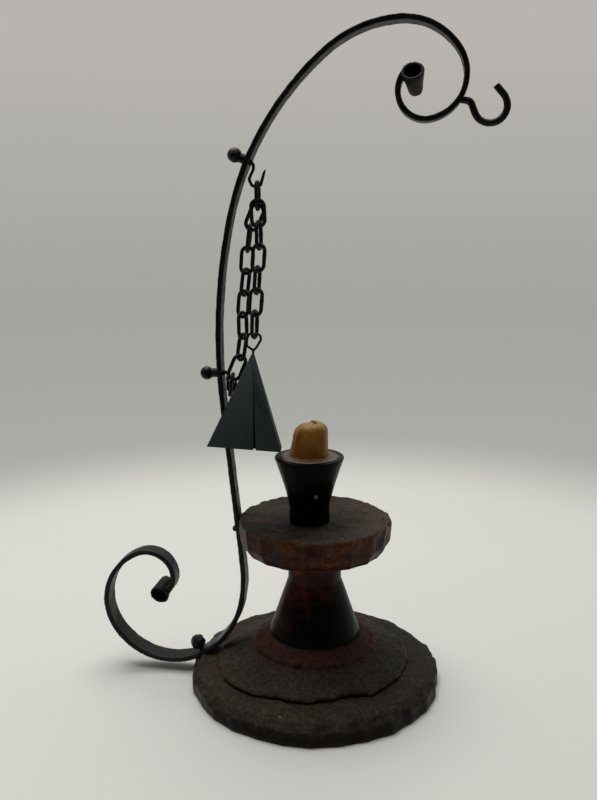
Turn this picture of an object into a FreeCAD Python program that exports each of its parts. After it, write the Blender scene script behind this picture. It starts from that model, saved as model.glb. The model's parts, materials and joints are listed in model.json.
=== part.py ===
import FreeCAD, Part
import math
import os

"""Rustic candle holder: hewn wooden stand, wrought iron scroll arm, chain and candle snuffer.

Millimetres, +Z up. The origin is the centre of the base's underside. The iron arm lies in
the XZ plane, with its lower scroll towards -X and its end hook towards +X.
"""

V = FreeCAD.Vector

# Base: two hewn boards stacked under the neck
base_radius = 75.6
lower_wall_height = 8.5
lower_shoulder_radius = 70.6
lower_shoulder_rise = 3.8
lower_top_rise = 1.2
upper_tier_radius = 57.5
upper_edge_height = 2.8
upper_slope_rise = 8.3
ring_radius = 36.5
ring_slope = 1.5
ring_height = 1.8
upper_cap_rise = 5.0
base_facets = 30
base_hew_shares = (1.0, 0.994, 0.998, 0.99, 1.0, 0.996, 0.989, 0.997, 1.0, 0.993)
tier_hew_shares = (1.0, 1.03, 1.04, 1.065, 1.05, 1.03, 0.963, 0.97, 0.95, 0.93,
                   0.882, 0.99, 0.972, 0.977, 0.98, 0.99, 0.985, 1.01, 0.98, 1.0,
                   1.015, 0.985, 0.97, 1.0, 1.02, 0.99, 0.985, 1.005, 0.98, 0.99)

# Neck: turned cone with a round tenon glued into the plate
neck_height = 53.0
neck_foot_radius = 27.0
neck_foot_lip = 1.6
neck_mid_radius = 21.4
neck_mid_height = 18.0
neck_waist_radius = 15.9
neck_waist_height = 34.0
tenon_radius = 8.0
tenon_length = 8.0

# Drip plate: hewn disc, widest at its top
plate_radius = 45.2
plate_thickness = 19.0
plate_band_height = 6.0
plate_band_radius = 44.2
plate_foot_radius = 40.8
plate_facets = 20
plate_hew_shares = (1.0, 1.005, 0.995, 0.985, 0.975, 0.972, 0.975, 0.985, 0.995, 1.005,
                    1.016, 1.01, 0.955, 0.985, 0.975, 0.962, 0.968, 0.98, 0.995, 1.005)

# Candle cup: turned, standing off the centre of the plate, to the left and to the front
cup_shift_side = 2.1
cup_shift_front = 7.0
cup_height = 39.1
cup_foot_radius = 11.8
cup_foot_height = 5.0
cup_waist_radius = 13.2
cup_waist_height = 15.5
cup_flare_radius = 19.3
cup_rim_radius = 20.0
cup_rim_height = 3.0
cup_tenon_radius = 6.0
cup_tenon_length = 6.0

# Candle stub, its wick and the wax that ran out on the cup's top
candle_radius = 11.0
candle_seat_depth = 18.0
candle_stand = 19.0
candle_shoulder = 4.0
candle_gap = 0.2
wick_radius = 0.8
wick_stand = 2.6
wick_depth = 6.0
wax_thickness = 1.1
wax_reach = 5.2
wax_points = 24
wax_reach_shares = (1.3, 1.3, 1.4, 1.2, 0.8, 0.55, 0.6, 0.7, 0.9, 1.15, 1.25, 1.3)

# Two wood screws up through the base into the neck
screw_spread = 12.0
screw_radius = 2.0
screw_head_radius = 4.0
screw_head_height = 2.6
screw_recess = 1.6
screw_bite = 14.0
screw_point = 5.0
screw_slot_width = 0.9
screw_slot_depth = 0.9

# Arm: flat bar bent the easy way, drawn wider at its scroll and arch, each end hammered into a small roll
bar_thickness = 3.0
bar_widths = ((0, 12.2), (45.0, 12.2), (85.0, 9.4), (250.0, 9.2), (345.0, 11.0), (400.0, 11.3))
stem_lean = 5.8
scroll_floor_gap = 5.5
knee_radius, knee_sweep = 79.4, 17.9
heel_radius, heel_sweep = 51.4, 51.2
sole_radius, sole_sweep = 40.7, 88.7
back_radius, back_sweep = 33.8, 95.5
curl_radius, curl_sweep = 16.1, 119.5
lower_tip_radius, lower_tip_sweep = 8.0, 70.0
stem_run = 77.7
stem_radius, stem_sweep = 328.7, 18.5
rise_radius, rise_sweep = 157.1, 37.6
arch_radius, arch_sweep = 65.3, 37.9
crown_radius, crown_sweep = 36.0, 60.3
drop_radius, drop_sweep = 22.1, 112.0
return_radius, return_sweep = 14.8, 128.0
upper_tip_radius, upper_tip_sweep = 6.0, 75.0

# Rolls at the bar's ends: conical, the near end open, their middles measured from the end of the path
roll_half_length = 6.2
roll_pocket_depth = 6.0
roll_pocket_share = 0.7
lower_roll_near = V(-2.4, 0, -2.0)
lower_roll_far = V(-0.7, 0, 2.7)
lower_roll_near_radius = 4.9
lower_roll_far_radius = 3.4
upper_roll_near = V(-0.8, 0, -0.8)
upper_roll_far = V(0.9, 0, -9.6)
upper_roll_near_radius = 6.2
upper_roll_far_radius = 3.6

# End hook: round rod welded to the arm where the arch turns under
hook_rod_radius = 1.9
hook_root_share = 0.58
hook_root_heading = -8.0
hook_neck_run = 4.0
hook_neck_radius, hook_neck_sweep = 3.5, 60.0
hook_drop_run = 4.4
hook_bowl_radius, hook_bowl_sweep = 8.6, 199.0
hook_tip_run = 6.2

# Ball headed nails: two whose shanks are drawn out to hooks, one in the plate, one in the base
upper_ball_radius = 3.7
lower_ball_radius = 3.3
hook_ball_stand = 6.8
nail_neck_radius = 1.25
hook_neck_share = 0.62
plate_ball_radius = 2.0
plate_ball_stand = 0.8
plate_nail_bite = 9.0
base_ball_radius = 3.8
base_ball_stand = 4.5
base_nail_bite = 7.0
base_nail_inset = 4.87
hook_wire_radius = 0.8
hook_bend_radius = 1.5
hook_tip_length = 2.2
nail_tip_radius = 0.25
upper_hook_height = 307.5
upper_hook_reach = 5.1
upper_hook_size = 13.3
upper_hook_leave = 1.8
upper_hook_bend_shares = ((-0.16, 0.675), (-0.354, 0.277), (-0.23, 0), (0.123, 0), (0.285, 0.508))
lower_hook_size = 10.6
lower_hook_reach = 5.756
lower_hook_leave = 1.9
lower_hook_bend_shares = ((-0.17, 0.5), (-0.17, 0), (0.17, 0), (0.27, 0.42))

# Chain: a top link carries the strand that holds the snuffer and the strand draped to the lower hook
link_length = 16.95
link_width = 9.4
link_wire = 2.2
link_gap = 0.25
strand_split_share = 0.25
strand_gap = 0.7
hanging_lean_side = (-4.7, -1.7, 3.2, 2.5, 3.9, 0.8)
hanging_lean_front = (12.0, 7.2, 7.2, 7.2, 7.2, 7.2)
hanging_turns = (8.0, 81.5, -16.0, 80.0, -14.0, 79.0)
draped_lean_side = (24.5, 6.7, 3.0, 6.1, 4.1, -1.6, 7.7, 22.7)
draped_lean_front = (-8.0, 4.5, 5.2, 5.2, 5.2, 5.2, 5.2, 5.2)
draped_turns = (8.0, 94.0, -14.0, 70.0, -28.0, 64.0, 132.0, 28.0, 98.0)
closing_lean_side = 15.0
closing_slack = 0.8
sway_limit = 25.0

# Snuffer: folded sheet pyramid with an open seam, hung by a bent wire bail
hood_side = 40.0
hood_height = 51.8
hood_tip_side = 1.8
hood_sheet = 0.7
hood_tilt_front = 10.85
hood_tilt_side = 3.24
hood_turn = 8.0
hood_seam_share = 0.65
hood_seam_start_share = 0.26
hood_seam_width = 1.4
bail_wire_radius = 0.6
bail_rise = 11.5
bail_height = 9.0
bail_half_width = 3.9
bail_bend_radius = 1.3
bail_side_shares = ((-0.77, 0), (-1.0, 0.31), (-1.0, 0.756), (0, 1.0))
bail_closing_shares = ((0.77, 0), (1.0, 0.31), (0.41, 0.82), (0.08, 1.0))
bail_tail = 4.6
bail_knot_radius = 1.6

cut_over = 2.0
halvings = 40

# Heights that follow from the stack
shoulder_height = lower_wall_height + lower_shoulder_rise
lower_top_height = shoulder_height + lower_top_rise
tier_edge_height = lower_top_height + upper_edge_height
ring_foot_height = tier_edge_height + upper_slope_rise
base_top_height = ring_foot_height + ring_height + upper_cap_rise
plate_foot_height = base_top_height + neck_height
plate_top_height = plate_foot_height + plate_thickness
cup_top_height = plate_top_height + cup_height
candle_top_height = cup_top_height + candle_stand
cup_centre = V(-cup_shift_side, -cup_shift_front, 0)
bar_width = max(width for _, width in bar_widths)

# The arm's path runs both ways from where the bar passes the middle of the plate's edge
stem_heading = 90.0 + stem_lean
stem_bends = ((stem_run, 0), (stem_radius, -stem_sweep), (rise_radius, -rise_sweep), (arch_radius, -arch_sweep),
              (crown_radius, -crown_sweep), (drop_radius, -drop_sweep), (return_radius, -return_sweep),
              (upper_tip_radius, -upper_tip_sweep))
scroll_bends = ((knee_radius, -knee_sweep), (heel_radius, -heel_sweep), (sole_radius, -sole_sweep),
                (back_radius, -back_sweep), (curl_radius, -curl_sweep), (lower_tip_radius, -lower_tip_sweep))


def polar(radius, angle, height):
    """Point at a radius and an angle in degrees about the Z axis."""
    turn = math.radians(angle)
    return V(radius * math.cos(turn), radius * math.sin(turn), height)


def hewn(radius, shares, count, height):
    """Closed hewn outline: count corners, each at its own share of the radius, one towards -X."""
    corners = []
    for number in range(count):
        share = shares[(number + number // len(shares)) % len(shares)]
        corners.append(polar(radius * share, 180.0 + 360.0 * number / count, height))
    return Part.makePolygon(corners + corners[:1])


def facet_solid(outlines):
    """Solid with flat hewn facets through a stack of outlines."""
    return Part.makeLoft(outlines, True, True)


def turned(profile, centre=V(0, 0, 0)):
    """Solid of revolution about the vertical through centre, from the edges of its profile."""
    solid = Part.Face(Part.Wire(profile)).revolve(V(0, 0, 0), V(0, 0, 1), 360)
    solid.translate(centre)
    return solid


def edge(a, b):
    """Straight edge between two profile points, each a radius and a height."""
    return Part.LineSegment(V(a[0], 0, a[1]), V(b[0], 0, b[1])).toShape()


def bow(a, b, c):
    """Arc through three profile points, each a radius and a height."""
    return Part.Arc(V(a[0], 0, a[1]), V(b[0], 0, b[1]), V(c[0], 0, c[1])).toShape()


def edges_through(points):
    """Straight edges through profile points in order."""
    return [edge(a, b) for a, b in zip(points, points[1:])]


def fused(*solids):
    """One clean solid from several that overlap."""
    whole = solids[0]
    for solid in solids[1:]:
        whole = whole.fuse(solid)
    return whole.removeSplitter()


def heading_vector(heading):
    """Unit vector in the XZ plane of a heading in degrees from +X towards +Z."""
    turn = math.radians(heading)
    return V(math.cos(turn), 0, math.sin(turn))


def advance(place, heading, radius, sweep):
    """Follow one bend: a sweep over zero turns left, and zero means a straight run of that length."""
    if sweep == 0:
        return place + heading_vector(heading) * radius, heading
    side = math.copysign(90.0, sweep)
    centre = place + heading_vector(heading + side) * radius
    return centre - heading_vector(heading + sweep + side) * radius, heading + sweep


def follow(place, heading, bends):
    """Place and heading at the end of a row of bends."""
    for radius, sweep in bends:
        place, heading = advance(place, heading, radius, sweep)
    return place, heading


def path_edges(place, heading, bends, shift=0.0):
    """Edges of the path through the bends, moved to its left by shift."""
    edges = []
    for radius, sweep in bends:
        middle, middle_way = advance(place, heading, radius if sweep else radius / 2, sweep / 2)
        end, end_way = advance(place, heading, radius, sweep)
        points = [spot + heading_vector(way + 90) * shift
                  for spot, way in ((place, heading), (middle, middle_way), (end, end_way))]
        curve = Part.Arc(*points) if sweep else Part.LineSegment(points[0], points[2])
        edges.append(curve.toShape())
        place, heading = end, end_way
    return edges


def bar_along(place, heading, bends):
    """Flat bar bent along a path in the XZ plane, its width along Y."""
    half = bar_thickness / 2
    left = path_edges(place, heading, bends, half)
    right = path_edges(place, heading, bends, -half)
    end, end_way = follow(place, heading, bends)
    caps = []
    for spot, way in ((place, heading), (end, end_way)):
        across = heading_vector(way + 90) * half
        caps.append(Part.LineSegment(spot + across, spot - across).toShape())
    face = Part.Face(Part.Wire(Part.__sortEdges__(left + right + caps)))
    face.translate(V(0, -bar_width / 2, 0))
    return face.extrude(V(0, bar_width, 0))


def rounded_path(points, radius):
    """Wire of straight runs joined by tangent arcs."""
    edges = []
    last = points[0]
    for before, corner, after in zip(points, points[1:], points[2:]):
        way_in = (corner - before).normalize()
        way_out = (after - corner).normalize()
        half_turn = way_in.getAngle(way_out) / 2
        trim = radius * math.tan(half_turn)
        start = corner - way_in * trim
        end = corner + way_out * trim
        middle = corner + (way_out - way_in).normalize() * (radius / math.cos(half_turn) - radius)
        edges.append(Part.LineSegment(last, start).toShape())
        edges.append(Part.Arc(start, middle, end).toShape())
        last = end
    edges.append(Part.LineSegment(last, points[-1]).toShape())
    return edges


def rod(edges, radius):
    """Round rod along a row of tangent edges."""
    start = edges[0].valueAt(edges[0].FirstParameter)
    way = edges[0].tangentAt(edges[0].FirstParameter)
    section = Part.Wire(Part.makeCircle(radius, start, way))
    return Part.Wire(edges).makePipeShell([section], True, False)


def make_screws():
    """Two countersunk wood screws with slotted heads, recessed in the underside."""
    screws = []
    for side in (-1, 1):
        head_top = screw_recess + screw_head_height
        tip = base_top_height + screw_bite
        points = [(0, screw_recess), (screw_head_radius, screw_recess), (screw_radius, head_top),
                  (screw_radius, tip - screw_point), (0, tip), (0, screw_recess)]
        screw = turned(edges_through(points), V(side * screw_spread, 0, 0))
        slot = Part.makeBox(screw_slot_width, 2 * screw_head_radius, screw_slot_depth,
                            V(side * screw_spread - screw_slot_width / 2, -screw_head_radius, screw_recess))
        screws.append(screw.cut(slot))
    return screws


def screw_holes():
    """Countersunk holes for the two screws, open at the underside."""
    holes = []
    for side in (-1, 1):
        head_top = screw_recess + screw_head_height
        tip = base_top_height + screw_bite
        points = [(0, -cut_over), (screw_head_radius, -cut_over), (screw_head_radius, screw_recess),
                  (screw_radius, head_top), (screw_radius, tip - screw_point), (0, tip), (0, -cut_over)]
        holes.append(turned(edges_through(points), V(side * screw_spread, 0, 0)))
    return Part.makeCompound(holes)


def make_lower_tier():
    """Bottom board with a chiselled wall and a rounded shoulder."""
    return facet_solid([hewn(base_radius, base_hew_shares, base_facets, 0),
                        hewn(base_radius, base_hew_shares, base_facets, lower_wall_height),
                        hewn(lower_shoulder_radius, base_hew_shares, base_facets, shoulder_height),
                        hewn(upper_tier_radius, base_hew_shares, base_facets, lower_top_height)])


def make_upper_tier():
    """Upper board with a chopped edge, rising to the ring that carries the neck."""
    return facet_solid([hewn(upper_tier_radius, tier_hew_shares, base_facets, lower_top_height),
                        hewn(upper_tier_radius, tier_hew_shares, base_facets, tier_edge_height),
                        hewn(ring_radius + ring_slope, base_hew_shares, base_facets, ring_foot_height),
                        hewn(ring_radius, base_hew_shares, base_facets, ring_foot_height + ring_height),
                        hewn(neck_foot_radius + ring_slope, base_hew_shares, base_facets, base_top_height)])


def make_neck():
    """Turned neck: straight below the plate, flaring to its foot, with a tenon on top."""
    foot, top = base_top_height, plate_foot_height
    waist = foot + neck_waist_height
    profile = edges_through([(neck_waist_radius, waist), (neck_waist_radius, top), (tenon_radius, top),
                             (tenon_radius, top + tenon_length), (0, top + tenon_length), (0, foot),
                             (neck_foot_radius, foot), (neck_foot_radius, foot + neck_foot_lip)])
    profile.append(bow((neck_foot_radius, foot + neck_foot_lip), (neck_mid_radius, foot + neck_mid_height),
                       (neck_waist_radius, waist)))
    return turned(profile)


def make_plate():
    """Drip plate: flat top, chopped side that tucks in underneath, and two glued sockets."""
    plate = facet_solid([hewn(plate_foot_radius, plate_hew_shares, plate_facets, plate_foot_height),
                         hewn(plate_band_radius, plate_hew_shares, plate_facets,
                              plate_foot_height + plate_band_height),
                         hewn(plate_radius, plate_hew_shares, plate_facets, plate_top_height)])
    neck_socket = Part.makeCylinder(tenon_radius, tenon_length, V(0, 0, plate_foot_height))
    cup_socket = Part.makeCylinder(cup_tenon_radius, cup_tenon_length + cut_over,
                                   cup_centre + V(0, 0, plate_top_height - cup_tenon_length))
    return plate.cut(neck_socket).cut(cup_socket)


def make_cup():
    """Turned cup: straight foot, flared to a broad rim, bored for the candle."""
    foot, top = plate_top_height, cup_top_height
    bore, seat = candle_radius + candle_gap, cup_top_height - candle_seat_depth
    profile = edges_through([(cup_flare_radius, top - cup_rim_height), (cup_rim_radius, top), (bore, top),
                             (bore, seat), (0, seat), (0, foot - cup_tenon_length),
                             (cup_tenon_radius, foot - cup_tenon_length), (cup_tenon_radius, foot),
                             (cup_foot_radius, foot), (cup_foot_radius, foot + cup_foot_height)])
    profile.append(bow((cup_foot_radius, foot + cup_foot_height), (cup_waist_radius, foot + cup_waist_height),
                       (cup_flare_radius, top - cup_rim_height)))
    return turned(profile, cup_centre)


def make_wick():
    """Short burnt wick set in the stub."""
    return Part.makeCylinder(wick_radius, wick_stand + wick_depth,
                             cup_centre + V(0, 0, candle_top_height - wick_depth))


def make_candle(wick):
    """Candle stub standing in the cup, its top edge melted round."""
    seat, top = cup_top_height - candle_seat_depth, candle_top_height
    turn = candle_shoulder * (1 - math.sqrt(0.5))
    flat = candle_radius - candle_shoulder
    profile = edges_through([(flat, top), (0, top), (0, seat), (candle_radius, seat),
                             (candle_radius, top - candle_shoulder)])
    profile.append(bow((candle_radius, top - candle_shoulder), (candle_radius - turn, top - turn), (flat, top)))
    return turned(profile, cup_centre).cut(wick)


def make_wax():
    """Wax that ran off the stub and set on the cup's top."""
    corners = []
    for number in range(wax_points):
        share = wax_reach_shares[number * len(wax_reach_shares) // wax_points]
        corners.append(polar(candle_radius + wax_reach * share, 360.0 * number / wax_points - 90.0, cup_top_height))
    spill = Part.Face(Part.makePolygon(corners + corners[:1])).extrude(V(0, 0, wax_thickness))
    spill = spill.cut(Part.makeCylinder(candle_radius, wax_thickness, V(0, 0, cup_top_height)))
    spill.translate(cup_centre)
    return spill


def stem_anchor():
    """Centre of the bar beside the middle of the plate's edge."""
    lean = math.radians(stem_lean)
    outward = plate_radius + bar_thickness / 2 / math.cos(lean) - plate_thickness / 2 * math.tan(lean)
    return V(-outward, 0, plate_top_height - plate_thickness / 2)


def scroll_path():
    """The bends below the plate: a straight run that leaves the scroll its gap to the floor, then the scroll."""
    down = stem_heading - 180.0
    place, way = follow(V(0, 0, 0), down, scroll_bends[:2])
    lowest, _ = advance(place, way, sole_radius, -180.0 - way)
    drop = stem_anchor().z - scroll_floor_gap - bar_thickness / 2 + lowest.z
    return ((drop / math.cos(math.radians(stem_lean)), 0),) + scroll_bends


def width_slab():
    """Solid that gives the bar its width at each height."""
    half = [V(-candle_top_height, width / 2, height) for height, width in bar_widths]
    other = [V(place.x, -place.y, place.z) for place in reversed(half)]
    face = Part.Face(Part.makePolygon(half + other + half[:1]))
    return face.extrude(V(2 * candle_top_height, 0, 0))


def make_roll(end, near, far, near_radius, far_radius):
    """Conical roll at the end of the bar's path, and the pocket in its near end."""
    start = end + near - V(0, roll_half_length, 0)
    axis = (end + far + V(0, roll_half_length, 0)) - start
    length = axis.Length
    way = V(axis).normalize()
    roll = Part.makeCone(near_radius, far_radius, length, start, way)
    pocket = Part.makeCylinder(near_radius * roll_pocket_share, roll_pocket_depth + cut_over,
                               start - way * cut_over, way)
    return roll, pocket


def make_arm():
    """Scroll arm in one piece, both ends of the bar rolled up."""
    anchor, down = stem_anchor(), stem_heading - 180.0
    bar = fused(bar_along(anchor, stem_heading, stem_bends), bar_along(anchor, down, scroll_path()))
    bar = bar.common(width_slab())
    upper_end, _ = follow(anchor, stem_heading, stem_bends)
    lower_end, _ = follow(anchor, down, scroll_path())
    upper_roll, upper_pocket = make_roll(upper_end, upper_roll_near, upper_roll_far,
                                         upper_roll_near_radius, upper_roll_far_radius)
    lower_roll, lower_pocket = make_roll(lower_end, lower_roll_near, lower_roll_far,
                                         lower_roll_near_radius, lower_roll_far_radius)
    return fused(bar, upper_roll, lower_roll).cut(upper_pocket).cut(lower_pocket)


def make_end_hook():
    """Round hook whose root runs into the arm where the arch turns under."""
    place, way = follow(stem_anchor(), stem_heading, stem_bends[:5])
    root, _ = advance(place, way, drop_radius, -drop_sweep * hook_root_share)
    bends = ((hook_neck_run, 0), (hook_neck_radius, -hook_neck_sweep), (hook_drop_run, 0),
             (hook_bowl_radius, hook_bowl_sweep), (hook_tip_run, 0))
    return rod(path_edges(root, hook_root_heading, bends), hook_rod_radius)


def ball_nail(head, way, length, ball_radius, shank_radius):
    """Forged nail: a ball head, and a plain shank of that length ending in a point."""
    point = shank_radius * 3
    shank = Part.makeCylinder(shank_radius, length - point, head, way)
    tip = Part.makeCone(shank_radius, nail_tip_radius, point, head + way * (length - point), way)
    return fused(Part.makeSphere(ball_radius, head), shank, tip)


def make_plate_nail():
    """Small nail through the bar into the plate's edge."""
    inward = heading_vector(stem_heading - 90)
    stand = bar_thickness / 2 + plate_ball_stand
    return ball_nail(stem_anchor() - inward * stand, inward, stand + bar_thickness / 2 + plate_nail_bite,
                     plate_ball_radius, hook_wire_radius)


def make_base_nail():
    """Ball headed nail through the bar into the base's shoulder."""
    inset = base_nail_inset - base_radius
    spot, spot_way = spot_where(stem_heading - 180.0, scroll_path(), lambda place: place.x < inset)
    downward = heading_vector(spot_way + 90)
    stand = bar_thickness / 2 + base_ball_stand
    return ball_nail(spot - downward * stand, downward, stand + bar_thickness / 2 + base_nail_bite,
                     base_ball_radius, nail_neck_radius)


def spot_where(heading, bends, passed):
    """Centre of the bar and its heading at the first place on its way from the anchor that passes a test."""
    place, way = stem_anchor(), heading
    for radius, sweep in bends:
        end, end_way = advance(place, way, radius, sweep)
        if passed(end):
            break
        place, way = end, end_way
    low, high = 0.0, 1.0
    for _ in range(halvings):
        share = (low + high) / 2
        spot, spot_way = advance(place, way, radius if sweep else radius * share, sweep * share)
        low, high = (low, share) if passed(spot) else (share, high)
    return spot, spot_way


def stem_spot(height):
    """Centre of the bar and its heading where the stem passes a height."""
    return spot_where(stem_heading, stem_bends, lambda place: place.z >= height)


def hook_nail(spot, way, ball_radius, leave, bends):
    """Ball headed nail through the bar, its shank drawn thin beyond it and bent to a sharp hook."""
    inward = heading_vector(way - 90)
    ball = spot - inward * (bar_thickness / 2 + hook_ball_stand)
    face = spot + inward * (bar_thickness / 2)
    points = [ball, face + inward * leave] + bends
    body = rod(rounded_path(points, hook_bend_radius), hook_wire_radius)
    tip_way = (points[-1] - points[-2]).normalize()
    tip = Part.makeCone(hook_wire_radius, nail_tip_radius, hook_tip_length, points[-1], tip_way)
    neck = Part.makeCone(ball_radius * hook_neck_share, nail_neck_radius, (face - ball).Length, ball, inward)
    return fused(Part.makeSphere(ball_radius, ball), neck, body, tip)


def upper_hook_seat():
    """Centre of the hook's wire where the top link hangs."""
    spot, _ = stem_spot(upper_hook_height)
    return spot + V(upper_hook_reach, 0, -upper_hook_size)


def make_upper_hook():
    """The hook nail that carries the chain."""
    spot, way = stem_spot(upper_hook_height)
    seat = upper_hook_seat()
    bends = [seat + V(across, 0, up) * upper_hook_size for across, up in upper_hook_bend_shares]
    return hook_nail(spot, way, upper_ball_radius, upper_hook_leave, bends)


def make_lower_hook(seat):
    """The hook nail that holds the end of the draped strand."""
    spot, way = stem_spot(seat.z + lower_hook_size)
    bends = [seat + V(across, 0, up) * lower_hook_size for across, up in lower_hook_bend_shares]
    return hook_nail(spot, way, lower_ball_radius, lower_hook_leave, bends)


def link_solid():
    """One chain link about the origin, long along Z and flat in the XZ plane."""
    turn, radius = (link_width - link_wire) / 2, link_wire / 2
    half, reach = (link_length - link_width) / 2, link_length
    ring = Part.makeTorus(turn, radius, V(0, 0, 0), V(0, 1, 0))
    pieces = []
    for side in (-1, 1):
        bend = ring.common(Part.makeBox(2 * reach, 2 * reach, reach, V(-reach, -reach, min(side, 0) * reach)))
        bend.translate(V(0, 0, side * half))
        pieces.append(bend)
        pieces.append(Part.makeCylinder(radius, 2 * half, V(side * turn, 0, -half)))
    return fused(*pieces)


def leaning(side, front):
    """Rotation that swings a hanging piece's foot to -X by side and to -Y by front, in degrees."""
    return FreeCAD.Rotation(V(0, 1, 0), side).multiply(FreeCAD.Rotation(V(1, 0, 0), -front))


def hung_link(head, side, front, turn):
    """A link whose top wire is centred at head, turned about its own length."""
    link = link_solid()
    link.rotate(V(0, 0, 0), V(0, 0, 1), turn)
    link.translate(V(0, 0, (link_wire - link_length) / 2))
    link.Placement = FreeCAD.Placement(head, leaning(side, front)).multiply(link.Placement)
    return link


def link_foot(head, side, front):
    """Centre of a hung link's foot wire."""
    return head + leaning(side, front).multVec(V(0, 0, link_wire - link_length))


def next_head(foot, side, front, gap=link_gap):
    """Top wire of the link that hangs in a foot wire."""
    return foot + leaning(side, front).multVec(V(0, 0, link_wire + gap))


def strand_places(head, sides, fronts):
    """Top wires of a strand's links, each hanging in the one before, and the foot wire of the last."""
    heads = [head]
    for number in range(1, len(sides)):
        foot = link_foot(heads[-1], sides[number - 1], fronts[number - 1])
        heads.append(next_head(foot, sides[number], fronts[number]))
    return heads, link_foot(heads[-1], sides[-1], fronts[-1])


def hung_strand(name, heads, sides, fronts, turns):
    """The links of a strand by name."""
    places = zip(heads, sides, fronts, turns)
    return {"%s_%d" % (name, number): hung_link(*place) for number, place in enumerate(places, 1)}


def draped_strand(bow_centre, sway):
    """The draped strand, all of it swayed by an angle: tops, leans, and the lower hook's seat."""
    sides = [lean + sway for lean in draped_lean_side]
    across = V(0, strand_split_share, -math.sqrt(1 - strand_split_share ** 2))
    hang = leaning(sides[0], 0).multVec(across * (link_wire + link_gap))
    heads, foot = strand_places(bow_centre + across * (link_width - link_wire) / 2 - hang, sides, draped_lean_front)
    rise = link_wire / 2 + link_gap + hook_wire_radius
    reach = link_length - 2 * link_wire - closing_slack - rise
    front = math.degrees(math.asin(foot.y / reach))
    side = closing_lean_side + sway
    heads.append(next_head(foot, side, front, closing_slack))
    seat = link_foot(heads[-1], side, front) + leaning(side, front).multVec(V(0, 0, rise))
    return heads, sides + [side], list(draped_lean_front) + [front], seat


def seat_reach(seat):
    """How far the lower hook's seat stands from the middle of the bar."""
    spot, _ = stem_spot(seat.z + lower_hook_size)
    return seat.x - spot.x


def draped_sway(bow_centre):
    """Sway of the draped strand that brings the lower hook's seat to its reach from the bar."""
    low, high = -sway_limit, sway_limit
    for _ in range(halvings):
        sway = (low + high) / 2
        seat = draped_strand(bow_centre, sway)[-1]
        low, high = (sway, high) if seat_reach(seat) > lower_hook_reach else (low, sway)
    return sway


def make_chain():
    """All links, the pivots between the hanging ones, and the two places where the strands end."""
    seat = upper_hook_seat()
    head = seat + V(0, 0, hook_wire_radius + link_gap + link_wire / 2)
    bend_radius = (link_width - link_wire) / 2
    free_radius = bend_radius - link_wire - link_gap
    bow_centre = link_foot(head, 0, 0) + V(0, 0, bend_radius)
    apart = free_radius * (1 + strand_split_share)
    ridden = math.sqrt((link_wire + strand_gap) ** 2 - apart ** 2)
    down = math.sqrt(1 - strand_split_share ** 2)
    hanging_head = V(seat.x, -free_radius, bow_centre.z - down * free_radius + ridden)
    hanging_heads, _ = strand_places(hanging_head, hanging_lean_side, hanging_lean_front)
    draped_heads, sides, fronts, lower_seat = draped_strand(bow_centre, draped_sway(bow_centre))
    links = {"chain_top_link": hung_link(head, 0, 0, 90.0)}
    links.update(hung_strand("hanging_link", hanging_heads, hanging_lean_side, hanging_lean_front, hanging_turns))
    links.update(hung_strand("draped_link", draped_heads, sides, fronts, draped_turns))
    feet = [link_foot(*place) for place in zip(hanging_heads, hanging_lean_side, hanging_lean_front)]
    return links, [seat, hanging_head] + feet, lower_seat


def square(side, height):
    """Closed square outline about the Z axis."""
    half = side / 2
    corners = [V(x * half, y * half, height) for x, y in ((-1, -1), (1, -1), (1, 1), (-1, 1))]
    return Part.makePolygon(corners + corners[:1])


def make_snuffer(pivot):
    """Folded sheet hood with its open seam, and the wire bail that it hangs by."""
    slope = (hood_side - hood_tip_side) / 2 / hood_height
    wall = hood_sheet * math.sqrt(1 + slope ** 2)
    outer = Part.makeLoft([square(hood_side, -hood_height), square(hood_tip_side, 0)], True, True)
    over = 2 * slope * cut_over
    inner = Part.makeLoft([square(hood_side - 2 * wall + over, -hood_height - cut_over),
                           square(max(hood_tip_side - 2 * wall, bail_wire_radius / 2), 0)], True, True)
    foot_x, half = hood_side * (hood_seam_share - 0.5), hood_seam_width / 2
    below = -hood_height - cut_over
    corners = [V(foot_x * hood_seam_start_share, -hood_side, -hood_height * hood_seam_start_share),
               V(foot_x - half, -hood_side, below), V(foot_x + half, -hood_side, below)]
    seam = Part.Face(Part.makePolygon(corners + corners[:1])).extrude(V(0, hood_side, 0))
    top = V(0, 0, bail_rise)
    left = [top + V(bail_half_width * x, 0, -bail_height * down) for x, down in bail_side_shares]
    right = [top + V(bail_half_width * x, 0, -bail_height * down) for x, down in bail_closing_shares]
    wire = rod(rounded_path([V(0, 0, -bail_tail)] + left[::-1] + right, bail_bend_radius), bail_wire_radius)
    bail = fused(wire, Part.makeSphere(bail_knot_radius, V(0, 0, -bail_tail)))
    hood = outer.cut(inner).cut(seam).cut(bail)
    swing = leaning(hood_tilt_side, hood_tilt_front).multiply(FreeCAD.Rotation(V(0, 0, 1), hood_turn))
    hang = V(0, 0, link_wire / 2 + link_gap + bail_wire_radius)
    place = FreeCAD.Placement(pivot + swing.multVec(hang - top), swing)
    hood.Placement = place
    bail.Placement = place
    return hood, bail


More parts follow.
